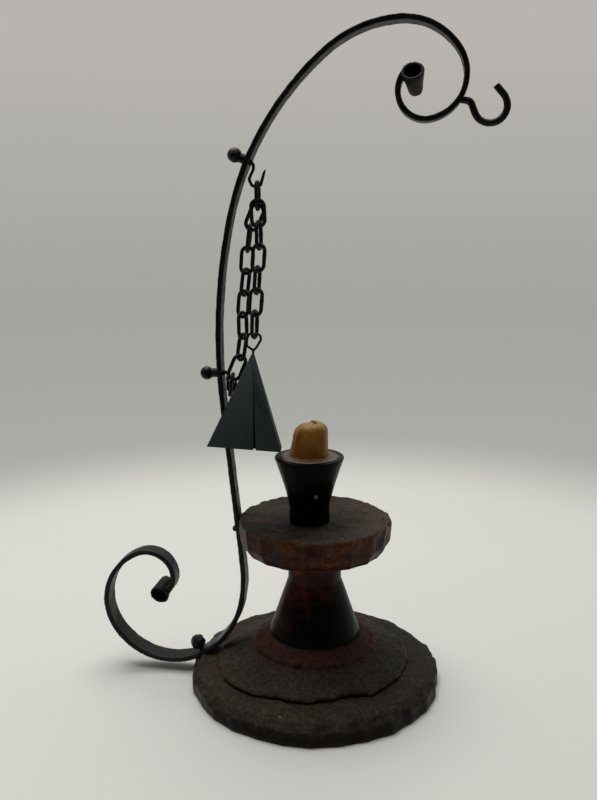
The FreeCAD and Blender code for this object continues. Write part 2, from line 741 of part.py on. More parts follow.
def build():
    """Make every node, seat the pieces in each other and write them out."""
    os.makedirs("parts", exist_ok=True)
    wick = make_wick()
    arm = make_arm()
    links, pivots, lower_seat = make_chain()
    upper_hook = make_upper_hook()
    lower_hook = make_lower_hook(lower_seat)
    plate_nail, base_nail = make_plate_nail(), make_base_nail()
    hood, bail = make_snuffer(pivots[-1])
    holes = screw_holes()
    nodes = {"tie_screws": Part.makeCompound(make_screws()),
             "base_lower_tier": make_lower_tier().cut(holes).cut(arm).cut(base_nail),
             "base_upper_tier": make_upper_tier().cut(holes).cut(arm),
             "neck_column": make_neck().cut(holes),
             "drip_plate": make_plate().cut(arm).cut(plate_nail),
             "candle_cup": make_cup(),
             "candle_stub": make_candle(wick),
             "candle_wick": wick,
             "wax_spill": make_wax(),
             "scroll_arm": arm.cut(Part.makeCompound([upper_hook, lower_hook, plate_nail, base_nail])),
             "end_hook": make_end_hook().cut(arm),
             "upper_hook_nail": upper_hook,
             "lower_hook_nail": lower_hook,
             "plate_nail": plate_nail,
             "base_nail": base_nail,
             "snuffer_hood": hood,
             "snuffer_bail": bail}
    nodes.update(links)
    for name, shape in nodes.items():
        shape.exportStep("parts/" + name + ".step")
    for number, pivot in enumerate(pivots):
        print("pivot %d: %.3f %.3f %.3f" % (number, pivot.x, pivot.y, pivot.z))
    print("lower hook seat: %.3f %.3f %.3f" % (lower_seat.x, lower_seat.y, lower_seat.z))
    return nodes


if __name__ == "__main__":
    build()
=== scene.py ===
"""Looks of a rustic candle holder: hewn wooden stand, wrought iron scroll arm, chain and snuffer.

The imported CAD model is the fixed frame. Pieces are modelled in millimetres with bmesh operators
and turned to metres when they are finished, each with its place in its own mesh.
"""

from __future__ import annotations

import json
import logging
import math
from collections.abc import Callable
from dataclasses import dataclass
from enum import Enum
from functools import partial

import bmesh
import bpy
import numpy as np
from mathutils import Matrix, Vector, noise

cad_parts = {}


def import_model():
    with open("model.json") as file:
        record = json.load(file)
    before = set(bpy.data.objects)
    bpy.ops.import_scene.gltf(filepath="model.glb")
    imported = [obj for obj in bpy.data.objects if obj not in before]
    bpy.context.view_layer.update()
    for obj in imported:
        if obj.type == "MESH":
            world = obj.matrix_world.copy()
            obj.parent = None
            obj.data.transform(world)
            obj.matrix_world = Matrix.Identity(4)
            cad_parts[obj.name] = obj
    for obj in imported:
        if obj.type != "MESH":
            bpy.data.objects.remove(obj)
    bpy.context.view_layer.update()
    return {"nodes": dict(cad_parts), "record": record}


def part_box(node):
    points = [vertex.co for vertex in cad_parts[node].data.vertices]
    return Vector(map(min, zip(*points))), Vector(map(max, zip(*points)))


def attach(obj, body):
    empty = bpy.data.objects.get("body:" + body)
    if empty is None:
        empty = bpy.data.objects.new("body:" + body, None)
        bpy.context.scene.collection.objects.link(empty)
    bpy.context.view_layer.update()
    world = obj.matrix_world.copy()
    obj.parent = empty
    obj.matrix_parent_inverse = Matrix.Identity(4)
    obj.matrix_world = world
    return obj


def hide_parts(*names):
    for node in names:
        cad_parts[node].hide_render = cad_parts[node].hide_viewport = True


LOG = logging.getLogger("candle_holder")
MM = 0.001
WELD = 0.001
MIX_FACTOR, MIX_FIRST, MIX_SECOND = 0, 6, 7

Point = tuple[float, float]
Place = tuple[float, float, float]
Reshape = Callable[[float, float, float], Place]
Depth = Callable[[Vector], float]
Colour = tuple[float, float, float, float]
Add = Callable[..., bpy.types.Node]
Source = bpy.types.Node | bpy.types.NodeSocket
Inputs = dict[str | int, object]


class Slot(Enum):
    """The record's material slots."""

    HEWN_WOOD = "hewn_wood"
    TURNED_WOOD = "turned_wood"
    BLACK_WOOD = "black_wood"
    WAX = "wax"
    WICK = "wick"
    BLACK_IRON = "black_iron"
    SHEET_IRON = "sheet_iron"
    SCREW_STEEL = "screw_steel"


# Materials


def linear(colour: str) -> Colour:
    """Turn an sRGB hex colour to linear.

    Args:
        colour: Six hex digits after a hash mark.

    Returns:
        Red, green, blue and an alpha of 1.
    """
    channels = [int(colour[place:place + 2], 16) / 255 for place in (1, 3, 5)]
    red, green, blue = (c / 12.92 if c <= 0.04045 else ((c + 0.055) / 1.055) ** 2.4 for c in channels)
    return red, green, blue, 1.0


def per_mm(size: float) -> float:
    """Texture scale on Object coordinates whose features are about that many millimetres."""
    return 1.0 / (size * MM)


def put(tree: bpy.types.NodeTree, kind: str, inputs: Inputs | None = None,
        stops: tuple[tuple[float, str], ...] = (), **settings: object) -> bpy.types.Node:
    """Add a node with its settings, links and values.

    Args:
        tree: The material's or world's node tree.
        kind: The node's type name, after its common beginning.
        inputs: By socket name or number, a value, or the socket or node that is linked to it.
        stops: Positions and hex colours, where the node is a colour ramp.
        settings: The node's own properties.

    Returns:
        The new node.
    """
    node = tree.nodes.new("ShaderNode" + kind)
    for name, value in settings.items():
        setattr(node, name, value)
    for socket, value in (inputs or {}).items():
        if isinstance(value, bpy.types.Node):
            value = next(output for output in value.outputs if output.enabled)
        if isinstance(value, bpy.types.NodeSocket):
            tree.links.new(value, node.inputs[socket])
        else:
            node.inputs[socket].default_value = value
    if stops:
        elements = node.color_ramp.elements
        while len(elements) < len(stops):
            elements.new(1.0)
        for element, (position, colour) in zip(elements, stops):
            element.position = position
            element.color = linear(colour)
    return node


def cleared(owner: bpy.types.Material | bpy.types.World) -> Add:
    """Clear an owner's nodes.

    Args:
        owner: What is seen through the nodes.

    Returns:
        The function that adds nodes to it.
    """
    owner.use_nodes = True
    owner.node_tree.nodes.clear()
    return partial(put, owner.node_tree)


@dataclass(frozen=True)
class Finish:
    """A surface finish: what it is made of and the record's slot that it stands for."""

    slot: Slot
    name: str

    def material(self) -> bpy.types.Material:
        """Make the Blender material.

        Returns:
            The material, dressed by the finish's own nodes.
        """
        material = bpy.data.materials.new(self.name)
        add = cleared(material)
        inputs = self.dress(add, add("TexCoord").outputs["Object"])
        add("OutputMaterial", {"Surface": add("BsdfPrincipled", inputs)})
        return material

    def dress(self, add: Add, where: Source) -> Inputs:
        """Add the finish's own nodes.

        Args:
            add: Adds a node.
            where: Object coordinates.

        Returns:
            What goes into each socket of the shader.
        """
        raise NotImplementedError


@dataclass(frozen=True)
class HewnPine(Finish):
    """Pine chopped with a gouge, stained dark and waxed, with old dust on what faces up.

    The eye reads warm stain on the upright cuts, worn ridges and a dull grey film on the flats.
    """

    stain: tuple[str, str, str]
    worn: str
    dust: tuple[str, str]
    right_tone: str
    right_tone_from: float
    ring_colour: str
    ring: tuple[float, float]
    patch: float = 30.0
    grain_width: float = 1.1
    grain_length: float = 34.0
    # Real pores and specks are well under a millimetre, too fine for the render, so they are drawn coarser.
    mottle: float = 7.0
    speck: float = 2.2
    speck_apart: float = 16.0
    speck_colour: str = "#a9a7a2"
    shade: tuple[str, str] = ("#a39d98", "#e2e0dc")
    wander: float = 14.0
    ring_fade: float = 3.0
    right_tone_run: float = 34.0
    gloss: tuple[float, float] = (0.42, 0.82)
    glint: float = 0.1
    pore_depth: float = 0.5
    fibre_depth: float = 0.35

    def dress(self, add: Add, where: Source) -> Inputs:
        """Stained wood under a film of dust, with grain, pores and a few pale specks.

        Args:
            add: Adds a node.
            where: Object coordinates.

        Returns:
            What goes into each socket of the shader.
        """
        patch = add("TexNoise", {"Vector": where, "Scale": per_mm(self.patch), "Detail": 5.0, "Roughness": 0.62,
            "Distortion": 0.15})
        along = add("Mapping", {"Vector": where, "Scale": (per_mm(self.grain_length), per_mm(self.grain_width * 3),
            per_mm(self.grain_width))})
        grain = add("TexNoise", {"Vector": along, "Scale": 1.0, "Detail": 3.0, "Roughness": 0.55})
        mottle = add("TexNoise", {"Vector": where, "Scale": per_mm(self.mottle), "Detail": 6.0, "Roughness": 0.68})
        geometry = add("NewGeometry")
        wood = self.stained(add, patch, grain, geometry.outputs["Pointiness"])
        film = self.film(add, mottle, geometry.outputs["Normal"])
        colour = add("Mix", {MIX_FACTOR: film, MIX_FIRST: wood, MIX_SECOND: self.settled(add, where, patch)},
            data_type="RGBA")
        colour = self.flecked(add, where, colour)
        dull = add("MapRange", {"Value": film, "To Min": self.gloss[0], "To Max": self.gloss[1]})
        pore = add("Bump", {"Height": mottle, "Strength": 0.35, "Distance": self.pore_depth * MM})
        fibre = add("Bump", {"Height": grain, "Strength": 0.3, "Distance": self.fibre_depth * MM, "Normal": pore})
        return {"Base Color": colour, "Roughness": dull, "Specular IOR Level": self.glint, "Normal": fibre}

    def stained(self, add: Add, patch: Source, grain: Source, point: Source) -> Source:
        """Stain by patches, darker along the grain and rubbed off the ridges.

        Args:
            add: Adds a node.
            patch: Slow noise of the stain's patches.
            grain: Noise drawn out along the grain.
            point: How far a ridge stands out.

        Returns:
            The wood's colour.
        """
        stain = add("ValToRGB", {"Fac": patch}, stops=((0.36, self.stain[0]), (0.5, self.stain[1]),
            (0.66, self.stain[2])))
        late = add("MapRange", {"Value": grain, "From Min": 0.52, "From Max": 0.7, "To Max": 0.45})
        grained = add("Mix", {MIX_FACTOR: late, MIX_FIRST: stain, MIX_SECOND: linear(self.stain[0])},
            data_type="RGBA")
        ridge = add("MapRange", {"Value": point, "From Min": 0.505, "From Max": 0.56, "To Max": 0.75})
        return add("Mix", {MIX_FACTOR: ridge, MIX_FIRST: grained, MIX_SECOND: linear(self.worn)}, data_type="RGBA")

    def film(self, add: Add, mottle: Source, normal: Source) -> Source:
        """Dust that lies on what faces up, thinner by spots.

        Args:
            add: Adds a node.
            mottle: Noise of the spots.
            normal: The surface's direction.

        Returns:
            How much of the dust shows.
        """
        up = add("SeparateXYZ", {"Vector": normal}).outputs["Z"]
        lying = add("MapRange", {"Value": up, "From Min": 0.35, "From Max": 0.93}, interpolation_type="SMOOTHSTEP")
        cover = add("MapRange", {"Value": mottle, "From Min": 0.32, "From Max": 0.6, "To Min": 0.55, "To Max": 0.96})
        return add("Math", {0: cover, 1: lying}, operation="MULTIPLY")

    def settled(self, add: Add, where: Source, patch: Source) -> Source:
        """Brown dust, another tone towards +X, and a ring round the middle with its own colour.

        Args:
            add: Adds a node.
            where: Object coordinates.
            patch: Slow noise that lets the borders wander.

        Returns:
            The dust's colour.
        """
        place = add("SeparateXYZ", {"Vector": where})
        flat = add("CombineXYZ", {"X": place.outputs["X"], "Y": place.outputs["Y"]})
        reach = add("VectorMath", {0: flat}, operation="LENGTH")
        wander = add("Math", {0: patch, 1: self.wander * MM, 2: -self.wander / 2 * MM}, operation="MULTIPLY_ADD")
        reach = add("Math", {0: reach, 1: wander}, operation="ADD")
        first, last = self.ring
        inside = add("MapRange", {"Value": reach, "From Min": (last + self.ring_fade) * MM, "From Max": last * MM})
        outside = add("MapRange", {"Value": reach, "From Min": (first - self.ring_fade) * MM, "From Max": first * MM,
            "To Max": 0.8})
        band = add("Math", {0: inside, 1: outside}, operation="MULTIPLY")
        # A different dust tone towards +X, the right side in view.
        across = add("Math", {0: place.outputs["X"], 1: wander}, operation="ADD")
        rightward = add("MapRange", {"Value": across, "From Min": self.right_tone_from * MM,
            "From Max": (self.right_tone_from + self.right_tone_run) * MM})
        blotch = add("MapRange", {"Value": patch, "From Min": 0.42, "From Max": 0.62, "To Max": 0.7})
        dust: Source | Colour = linear(self.dust[0])
        for share, colour in ((rightward, self.right_tone), (blotch, self.dust[1]), (band, self.ring_colour)):
            dust = add("Mix", {MIX_FACTOR: share, MIX_FIRST: dust, MIX_SECOND: linear(colour)}, data_type="RGBA")
        return dust

    def flecked(self, add: Add, where: Source, colour: Source) -> Source:
        """Pale specks, few and apart, and a fine mottle over everything.

        Args:
            add: Adds a node.
            where: Object coordinates.
            colour: The colour so far.

        Returns:
            The colour with both.
        """
        seed = add("TexVoronoi", {"Vector": where, "Scale": per_mm(self.speck * 3), "Randomness": 1.0})
        lone = add("TexNoise", {"Vector": where, "Scale": per_mm(self.speck_apart)})
        small = add("Math", {0: seed, 1: 0.06}, operation="LESS_THAN")
        rare = add("Math", {0: lone, 1: 0.62}, operation="GREATER_THAN")
        speck = add("Math", {0: small, 1: rare}, operation="MULTIPLY")
        colour = add("Mix", {MIX_FACTOR: speck, MIX_FIRST: colour, MIX_SECOND: linear(self.speck_colour)},
            data_type="RGBA")
        fine = add("TexNoise", {"Vector": where, "Scale": per_mm(self.speck), "Detail": 4.0, "Roughness": 0.7})
        shade = add("ValToRGB", {"Fac": fine}, stops=((0.38, self.shade[0]), (0.5, self.shade[1]), (0.6, "#ffffff")))
        return add("Mix", {MIX_FACTOR: 1.0, MIX_FIRST: colour, MIX_SECOND: shade}, data_type="RGBA",
            blend_type="MULTIPLY")


@dataclass(frozen=True)
class TurnedPine(Finish):
    """Turned pine under a brown-black lacquer that has rubbed through to red-brown wood.

    The eye reads a glossy dark foot with a painted reflection, a warm rubbed top and one bare amber patch.
    """

    lacquer: str = "#040404"
    rubbed: tuple[str, str, str] = ("#1a0805", "#371810", "#4c2719")
    bare: str = "#8a4f16"
    bare_spot: Place = (-9.5, -12.5, 77.5)
    bare_reach: tuple[float, float] = (7.0, 2.0)
    # Painted reflection at the foot: dark olive, lighter than the lacquer.
    foot_glint: str = "#1a1c0c"
    foot_height: float = 32.6
    blotch: float = 11.0
    rub_and_shade_height: float = 72.0
    rub_and_shade_fade: float = 16.0
    rub_and_shade_lean: float = 0.75
    rub_and_shade_wander: float = 30.0
    gloss: tuple[float, float] = (0.26, 0.5)
    glint: float = 0.07
    chatter: float = 0.9
    chatter_depth: float = 0.2

    def dress(self, add: Add, where: Source) -> Inputs:
        """Rubbed wood above; lacquer below and to the right, partly painted shade; a painted olive reflection at the
        foot.

        Args:
            add: Adds a node.
            where: Object coordinates.

        Returns:
            What goes into each socket of the shader.
        """
        place = add("SeparateXYZ", {"Vector": where})
        blotch = add("TexNoise", {"Vector": where, "Scale": per_mm(self.blotch), "Detail": 5.0, "Roughness": 0.6,
            "Distortion": 0.2})
        wood = add("ValToRGB", {"Fac": blotch}, stops=((0.36, self.rubbed[0]), (0.5, self.rubbed[1]),
            (0.68, self.rubbed[2])))
        gap = add("VectorMath", {0: where, 1: [part * MM for part in self.bare_spot]}, operation="DISTANCE")
        far, near = self.bare_reach
        spot = add("MapRange", {"Value": gap, "From Min": far * MM, "From Max": near * MM, "To Max": 0.9})
        # The border between rubbed wood and lacquer leans so that the right side stays black: partly real wear, partly
        # painted shade on the side away from the light.
        lean = add("Math", {0: place.outputs["X"], 1: -self.rub_and_shade_lean, 2: place.outputs["Z"]},
            operation="MULTIPLY_ADD")
        lean = add("Math", {0: blotch, 1: self.rub_and_shade_wander * MM, 2: lean}, operation="MULTIPLY_ADD")
        rub_and_shade = add("MapRange", {"Value": lean, "From Min": (self.rub_and_shade_height - self.rub_and_shade_fade / 2) * MM,
            "From Max": (self.rub_and_shade_height + self.rub_and_shade_fade / 2) * MM}, interpolation_type="SMOOTHSTEP")
        # Painted reflection: a dark olive band at the foot stands in for a glint there.
        foot = add("Math", {0: place.outputs["Z"], 1: self.foot_height * MM}, operation="LESS_THAN")
        wood = add("Mix", {MIX_FACTOR: spot, MIX_FIRST: wood, MIX_SECOND: linear(self.bare)}, data_type="RGBA")
        colour = add("Mix", {MIX_FACTOR: rub_and_shade, MIX_FIRST: linear(self.lacquer), MIX_SECOND: wood}, data_type="RGBA")
        colour = add("Mix", {MIX_FACTOR: foot, MIX_FIRST: colour, MIX_SECOND: linear(self.foot_glint)},
            data_type="RGBA")
        gloss = add("MapRange", {"Value": blotch, "From Min": 0.3, "From Max": 0.7, "To Min": self.gloss[0],
            "To Max": self.gloss[1]})
        rings = add("Mapping", {"Vector": where, "Scale": (per_mm(60), per_mm(60), per_mm(self.chatter))})
        chatter = add("TexNoise", {"Vector": rings, "Scale": 1.0, "Detail": 2.0})
        bump = add("Bump", {"Height": chatter, "Strength": 0.18, "Distance": self.chatter_depth * MM})
        return {"Base Color": colour, "Roughness": gloss, "Specular IOR Level": self.glint, "Normal": bump}


@dataclass(frozen=True)
class BlackLacquer(Finish):
    """Turned wood under brushed black lacquer: a deep, nearly even black with soft highlights.

    It carries one small pale spot, a painted highlight.
    """

    colour: str = "#030303"
    rubbed: str = "#131211"
    # nick: the middle of a small painted highlight, a pale spot on the black.
    nick: Place = (3.3, -19.4, 122.0)
    highlight_reach: tuple[float, float] = (1.5, 0.7)
    highlight_colour: str = "#77736c"
    brush: float = 5.0
    brush_depth: float = 0.4
    gloss: tuple[float, float] = (0.2, 0.34)
    glint: float = 0.04

    def dress(self, add: Add, where: Source) -> Inputs:
        """Even black, thin on its edges, with a painted highlight spot and a slightly wavy gloss.

        Args:
            add: Adds a node.
            where: Object coordinates.

        Returns:
            What goes into each socket of the shader.
        """
        point = add("NewGeometry").outputs["Pointiness"]
        edge = add("MapRange", {"Value": point, "From Min": 0.52, "From Max": 0.6, "To Max": 0.8})
        # Painted highlight: a small pale spot mixed into the black.
        gap = add("VectorMath", {0: where, 1: [part * MM for part in self.nick]}, operation="DISTANCE")
        far, near = self.highlight_reach
        nick = add("MapRange", {"Value": gap, "From Min": far * MM, "From Max": near * MM})
        colour: Source | Colour = linear(self.colour)
        for share, other in ((edge, self.rubbed), (nick, self.highlight_colour)):
            colour = add("Mix", {MIX_FACTOR: share, MIX_FIRST: colour, MIX_SECOND: linear(other)}, data_type="RGBA")
        wave = add("TexNoise", {"Vector": where, "Scale": per_mm(self.brush), "Detail": 4.0})
        gloss = add("MapRange", {"Value": wave, "From Min": 0.35, "From Max": 0.65, "To Min": self.gloss[0],
            "To Max": self.gloss[1]})
        bump = add("Bump", {"Height": wave, "Strength": 0.12, "Distance": self.brush_depth * MM})
        return {"Base Color": colour, "Roughness": gloss, "Specular IOR Level": self.glint, "Normal": bump}


@dataclass(frozen=True)
class AmberWax(Finish):
    """Old paraffin and beeswax: light goes a little way in, and its top is painted lighter, as lit from above."""

    body: tuple[str, str, str]
    lit_top: str
    lit_top_low: float
    lit_top_high: float
    blotch: float = 9.0
    lit_top_wander: float = 3.0
    depth: float = 2.2
    lump_depth: float = 0.6

    def dress(self, add: Add, where: Source) -> Inputs:
        """Cloudy amber, painted lighter towards its top as if lit from above.

        Args:
            add: Adds a node.
            where: Object coordinates.

        Returns:
            What goes into each socket of the shader.
        """
        cloud = add("TexNoise", {"Vector": where, "Scale": per_mm(self.blotch), "Detail": 3.0, "Distortion": 0.5})
        amber = add("ValToRGB", {"Fac": cloud}, stops=((0.34, self.body[0]), (0.5, self.body[1]),
            (0.68, self.body[2])))
        height = add("SeparateXYZ", {"Vector": where}).outputs["Z"]
        # Painted light: the colour turns to the lit top tone towards the top.
        height = add("Math", {0: cloud, 1: self.lit_top_wander * MM, 2: height}, operation="MULTIPLY_ADD")
        lying = add("MapRange", {"Value": height, "From Min": self.lit_top_low * MM, "From Max": self.lit_top_high * MM,
            "To Max": 0.8})
        colour = add("Mix", {MIX_FACTOR: lying, MIX_FIRST: amber, MIX_SECOND: linear(self.lit_top)}, data_type="RGBA")
        bump = add("Bump", {"Height": cloud, "Strength": 0.2, "Distance": self.lump_depth * MM})
        return {"Base Color": colour, "Roughness": 0.42, "Specular IOR Level": 0.25, "Subsurface Weight": 0.35,
                "Subsurface Radius": (1.0, 0.45, 0.16), "Subsurface Scale": self.depth * MM, "Normal": bump}


@dataclass(frozen=True)
class CharredCotton(Finish):
    """Burnt plaited cotton: matt soot black with a brown core where it breaks."""

    # Real crumbs of soot are finer. They are drawn as coarse as the render needs to show them.
    crumb: float = 0.7
    crumb_depth: float = 0.3

    def dress(self, add: Add, where: Source) -> Inputs:
        """Crumbly soot.

        Args:
            add: Adds a node.
            where: Object coordinates.

        Returns:
            What goes into each socket of the shader.
        """
        crumb = add("TexNoise", {"Vector": where, "Scale": per_mm(self.crumb), "Detail": 3.0})
        colour = add("ValToRGB", {"Fac": crumb}, stops=((0.4, "#0d0b0a"), (0.7, "#2e221a")))
        bump = add("Bump", {"Height": crumb, "Strength": 0.5, "Distance": self.crumb_depth * MM})
        return {"Base Color": colour, "Roughness": 0.95, "Normal": bump}


@dataclass(frozen=True)
class BlackedIron(Finish):
    """Mild steel forged at the fire and blacked with oil: near black, satin, with fire scale.

    The eye reads a grey sheen on the flats, duller scale patches and edges rubbed a little brighter.
    """

    scale_colour: str = "#0a0a0b"
    sheen_colour: str = "#161718"
    edge_colour: str = "#2c2b2a"
    bloom: str = "#131414"
    gloss: tuple[float, float] = (0.34, 0.56)
    glint: float = 0.21
    # Real flakes of scale are finer than a hammer mark. They are drawn at its size, which the render shows.
    hammer: float = 5.0
    scale_depth: float = 0.4
    metal: float = 0.2

    def dress(self, add: Add, where: Source) -> Inputs:
        """Scale, sheen, rubbed edges and hammer marks.

        Args:
            add: Adds a node.
            where: Object coordinates.

        Returns:
            What goes into each socket of the shader.
        """
        scale = add("TexNoise", {"Vector": where, "Scale": per_mm(self.hammer), "Detail": 6.0, "Roughness": 0.65})
        cloud = add("TexNoise", {"Vector": where, "Scale": per_mm(self.hammer * 5), "Detail": 3.0})
        point = add("NewGeometry").outputs["Pointiness"]
        colour = add("ValToRGB", {"Fac": scale}, stops=((0.4, self.scale_colour), (0.62, self.sheen_colour)))
        lying = add("MapRange", {"Value": cloud, "From Min": 0.45, "From Max": 0.65, "To Max": 0.7})
        edge = add("MapRange", {"Value": point, "From Min": 0.53, "From Max": 0.62, "To Max": 0.6})
        for share, other in ((lying, self.bloom), (edge, self.edge_colour)):
            colour = add("Mix", {MIX_FACTOR: share, MIX_FIRST: colour, MIX_SECOND: linear(other)}, data_type="RGBA")
        rough = add("MapRange", {"Value": scale, "From Min": 0.35, "From Max": 0.68, "To Min": self.gloss[0],
            "To Max": self.gloss[1]})
        bump = add("Bump", {"Height": scale, "Strength": 0.3, "Distance": self.scale_depth * MM})
        return {"Base Color": colour, "Roughness": rough, "Metallic": self.metal, "Specular IOR Level": self.glint,
                "Normal": bump}


@dataclass(frozen=True)
class ScrewSteel(Finish):
    """Plain wood screw steel, dulled by years under the base."""

    bloom: float = 2.0
    bloom_depth: float = 0.1

    def dress(self, add: Add, where: Source) -> Inputs:
        """Turned head with a thin brown bloom.

        Args:
            add: Adds a node.
            where: Object coordinates.

        Returns:
            What goes into each socket of the shader.
        """
        bloom = add("TexNoise", {"Vector": where, "Scale": per_mm(self.bloom), "Detail": 4.0})
        colour = add("ValToRGB", {"Fac": bloom}, stops=((0.42, "#8b8880"), (0.66, "#5c4a3a")))
        bump = add("Bump", {"Height": bloom, "Strength": 0.15, "Distance": self.bloom_depth * MM})
        return {"Base Color": colour, "Metallic": 1.0, "Roughness": 0.4, "Normal": bump}


BASE_PINE = HewnPine(Slot.HEWN_WOOD, "dark_stained_pine", stain=("#070404", "#100908", "#21140f"),
                     worn="#4a352a", dust=("#413930", "#362a23"), right_tone="#31342f", right_tone_from=10.0,
                     ring_colour="#4d2a24", ring=(29.0, 37.5))
PLATE_PINE = HewnPine(Slot.HEWN_WOOD, "red_stained_pine", stain=("#180a06", "#422013", "#663a22"),
                      worn="#6a4630", dust=("#2f312a", "#38332d"), right_tone="#4a443d", right_tone_from=6.0,
                      ring_colour="#34332d", ring=(14.0, 30.0), patch=15.0)
NECK_PINE = TurnedPine(Slot.TURNED_WOOD, "rubbed_turned_pine")
CUP_LACQUER = BlackLacquer(Slot.BLACK_WOOD, "black_lacquered_cup")
STUB_WAX = AmberWax(Slot.WAX, "amber_candle_wax", body=("#7e4c0a", "#8f5a11", "#9a681f"), lit_top="#826628",
                    lit_top_low=157.0, lit_top_high=163.5)
SPILL_WAX = AmberWax(Slot.WAX, "dusty_run_wax", body=("#4a290c", "#5a3a1c", "#604c2e"), lit_top="#564833",
                     lit_top_low=142.0, lit_top_high=145.5)
WICK_COTTON = CharredCotton(Slot.WICK, "charred_cotton")
ARM_IRON = BlackedIron(Slot.BLACK_IRON, "blacked_forged_iron")
CHAIN_IRON = BlackedIron(Slot.BLACK_IRON, "blacked_chain_iron", scale_colour="#060606", sheen_colour="#0e0e0f",
                         edge_colour="#1c1c1b", bloom="#0b0b0b", hammer=1.6, gloss=(0.42, 0.64), glint=0.22,
                         metal=0.0)
HOOD_IRON = BlackedIron(Slot.SHEET_IRON, "grey_bloomed_sheet_iron", scale_colour="#1f2725",
                        sheen_colour="#2d3634", edge_colour="#2d3634", bloom="#27302e", hammer=2.6,
                        gloss=(0.5, 0.7), glint=0.12, metal=0.0)
# Painted shade: near black, for the flap that darkens the snuffer's open seam.
SEAM_SHADE_IRON = BlackedIron(Slot.SHEET_IRON, "painted_seam_shade_iron", scale_colour="#020202", sheen_colour="#040404",
                          edge_colour="#050505", bloom="#030303", gloss=(0.8, 0.9), glint=0.05, metal=0.0)
STEEL = ScrewSteel(Slot.SCREW_STEEL, "dulled_screw_steel")


class Palette:
    """Makes each finish's material once, when a piece first asks for it."""

    def __init__(self) -> None:
        """Start with no material made."""
        self.made: dict[str, bpy.types.Material] = {}

    def of(self, finish: Finish) -> bpy.types.Material:
        """Return the finish's material."""
        if finish.name not in self.made:
            self.made[finish.name] = finish.material()
        return self.made[finish.name]


PALETTE = Palette()


# Shaping tools


def dense(profile: list[Point], step: float) -> list[Point]:
    """Add points to a profile so that none of its runs is longer than a step.

    Args:
        profile: Radius and height of each point, in millimetres.
        step: The longest run allowed.

    Returns:
        The profile with its own points and those between.
    """
    points = [profile[0]]
    for (r0, z0), (r1, z1) in zip(profile, profile[1:]):
        count = max(1, round(math.hypot(r1 - r0, z1 - z0) / step))
        points += [(r0 + (r1 - r0) * n / count, z0 + (z1 - z0) * n / count) for n in range(1, count + 1)]
    return points


def spun(profile: list[Point], steps: int) -> bmesh.types.BMesh:
    """Spin a profile about the Z axis.

    Args:
        profile: Radius and height of each point. It starts and ends on the axis, or closes on itself.
        steps: Number of steps in the full turn.

    Returns:
        A closed mesh, its faces outwards.
    """
    mesh = bmesh.new()
    line = [mesh.verts.new((radius, 0.0, height)) for radius, height in profile]
    edges = [mesh.edges.new(ends) for ends in zip(line, line[1:])]
    bmesh.ops.spin(mesh, geom=line + edges, cent=(0, 0, 0), axis=(0, 0, 1), angle=math.tau, steps=steps,
                   use_merge=True)
    bmesh.ops.remove_doubles(mesh, verts=mesh.verts[:], dist=WELD)
    bmesh.ops.recalc_face_normals(mesh, faces=mesh.faces[:])
    return mesh


def reshape(mesh: bmesh.types.BMesh, rule: Reshape) -> None:
    """Move each vertex by a rule on its radius, angle and height about the Z axis."""
    for vertex in mesh.verts:
        x, y, z = vertex.co
        radius, angle, height = rule(math.hypot(x, y), math.atan2(y, x), z)
        vertex.co = (radius * math.cos(angle), radius * math.sin(angle), height)


def roughen(mesh: bmesh.types.BMesh, depth: Depth) -> None:
    """Move each vertex along its normal by a depth that its place gives."""
    mesh.normal_update()
    moves = [vertex.normal * depth(vertex.co) for vertex in mesh.verts]
    for vertex, move in zip(mesh.verts, moves):
        vertex.co += move


def ripple(place: Vector, size: float, seed: float = 0.0) -> float:
    """Smooth noise between about -1 and 1, with features of that size in millimetres."""
    return noise.noise(place / size + Vector((seed, seed * 1.7, seed * 2.3)))


def scoop(place: Vector, size: float) -> float:
    """Depth share of a gouge's scoop: 1 at the middle of each cut and 0 at the ridges between cuts."""
    near, far = noise.voronoi(place / size)[0][:2]
    return min(1.0, (far - near) * 1.6)


def smooth(value: float) -> float:
    """Ease a share between 0 and 1, with both ends level."""
    share = min(1.0, max(0.0, value))
    return share * share * (3.0 - 2.0 * share)


def bowed(low: Vector, middle: Vector, high: Vector, steps: int, pull: float = 0.0) -> list[Point]:
    """Bend one even bow through three points of a profile.

    Args:
        low: Radius and height where it starts.
        middle: Where it is half-way.
        high: Where it ends.
        steps: Number of its points.
        pull: How far its control point is pulled in, in millimetres.

    Returns:
        The bow's points after the first.
    """
    control = middle * 2 - (low + high) / 2
    control = Vector((control.x - pull, control.y))
    points: list[Point] = []
    for number in range(1, steps + 1):
        share = number / steps
        spot = low * (1 - share) ** 2 + control * 2 * share * (1 - share) + high * share ** 2
        points.append((spot.x, spot.y))
    return points


def about(angle: float, radius: float) -> Vector:
    """Point at that angle and radius about the Z axis."""
    return Vector((math.cos(angle), math.sin(angle), 0.0)) * radius


def drawn_on(mesh: bmesh.types.BMesh, edges: list[bmesh.types.BMEdge],
             move: Place) -> tuple[list[bmesh.types.BMVert], list[bmesh.types.BMEdge]]:
    """Extrude a ring of edges and move it on.

    Args:
        mesh: The mesh.
        edges: The ring's edges.
        move: How far the new ring lies from it.

    Returns:
        The new ring's vertices and edges.
    """
    grown = bmesh.ops.extrude_edge_only(mesh, edges=edges)["geom"]
    ring = [item for item in grown if isinstance(item, bmesh.types.BMVert)]
    bmesh.ops.translate(mesh, vec=move, verts=ring)
    return ring, [item for item in grown if isinstance(item, bmesh.types.BMEdge)]


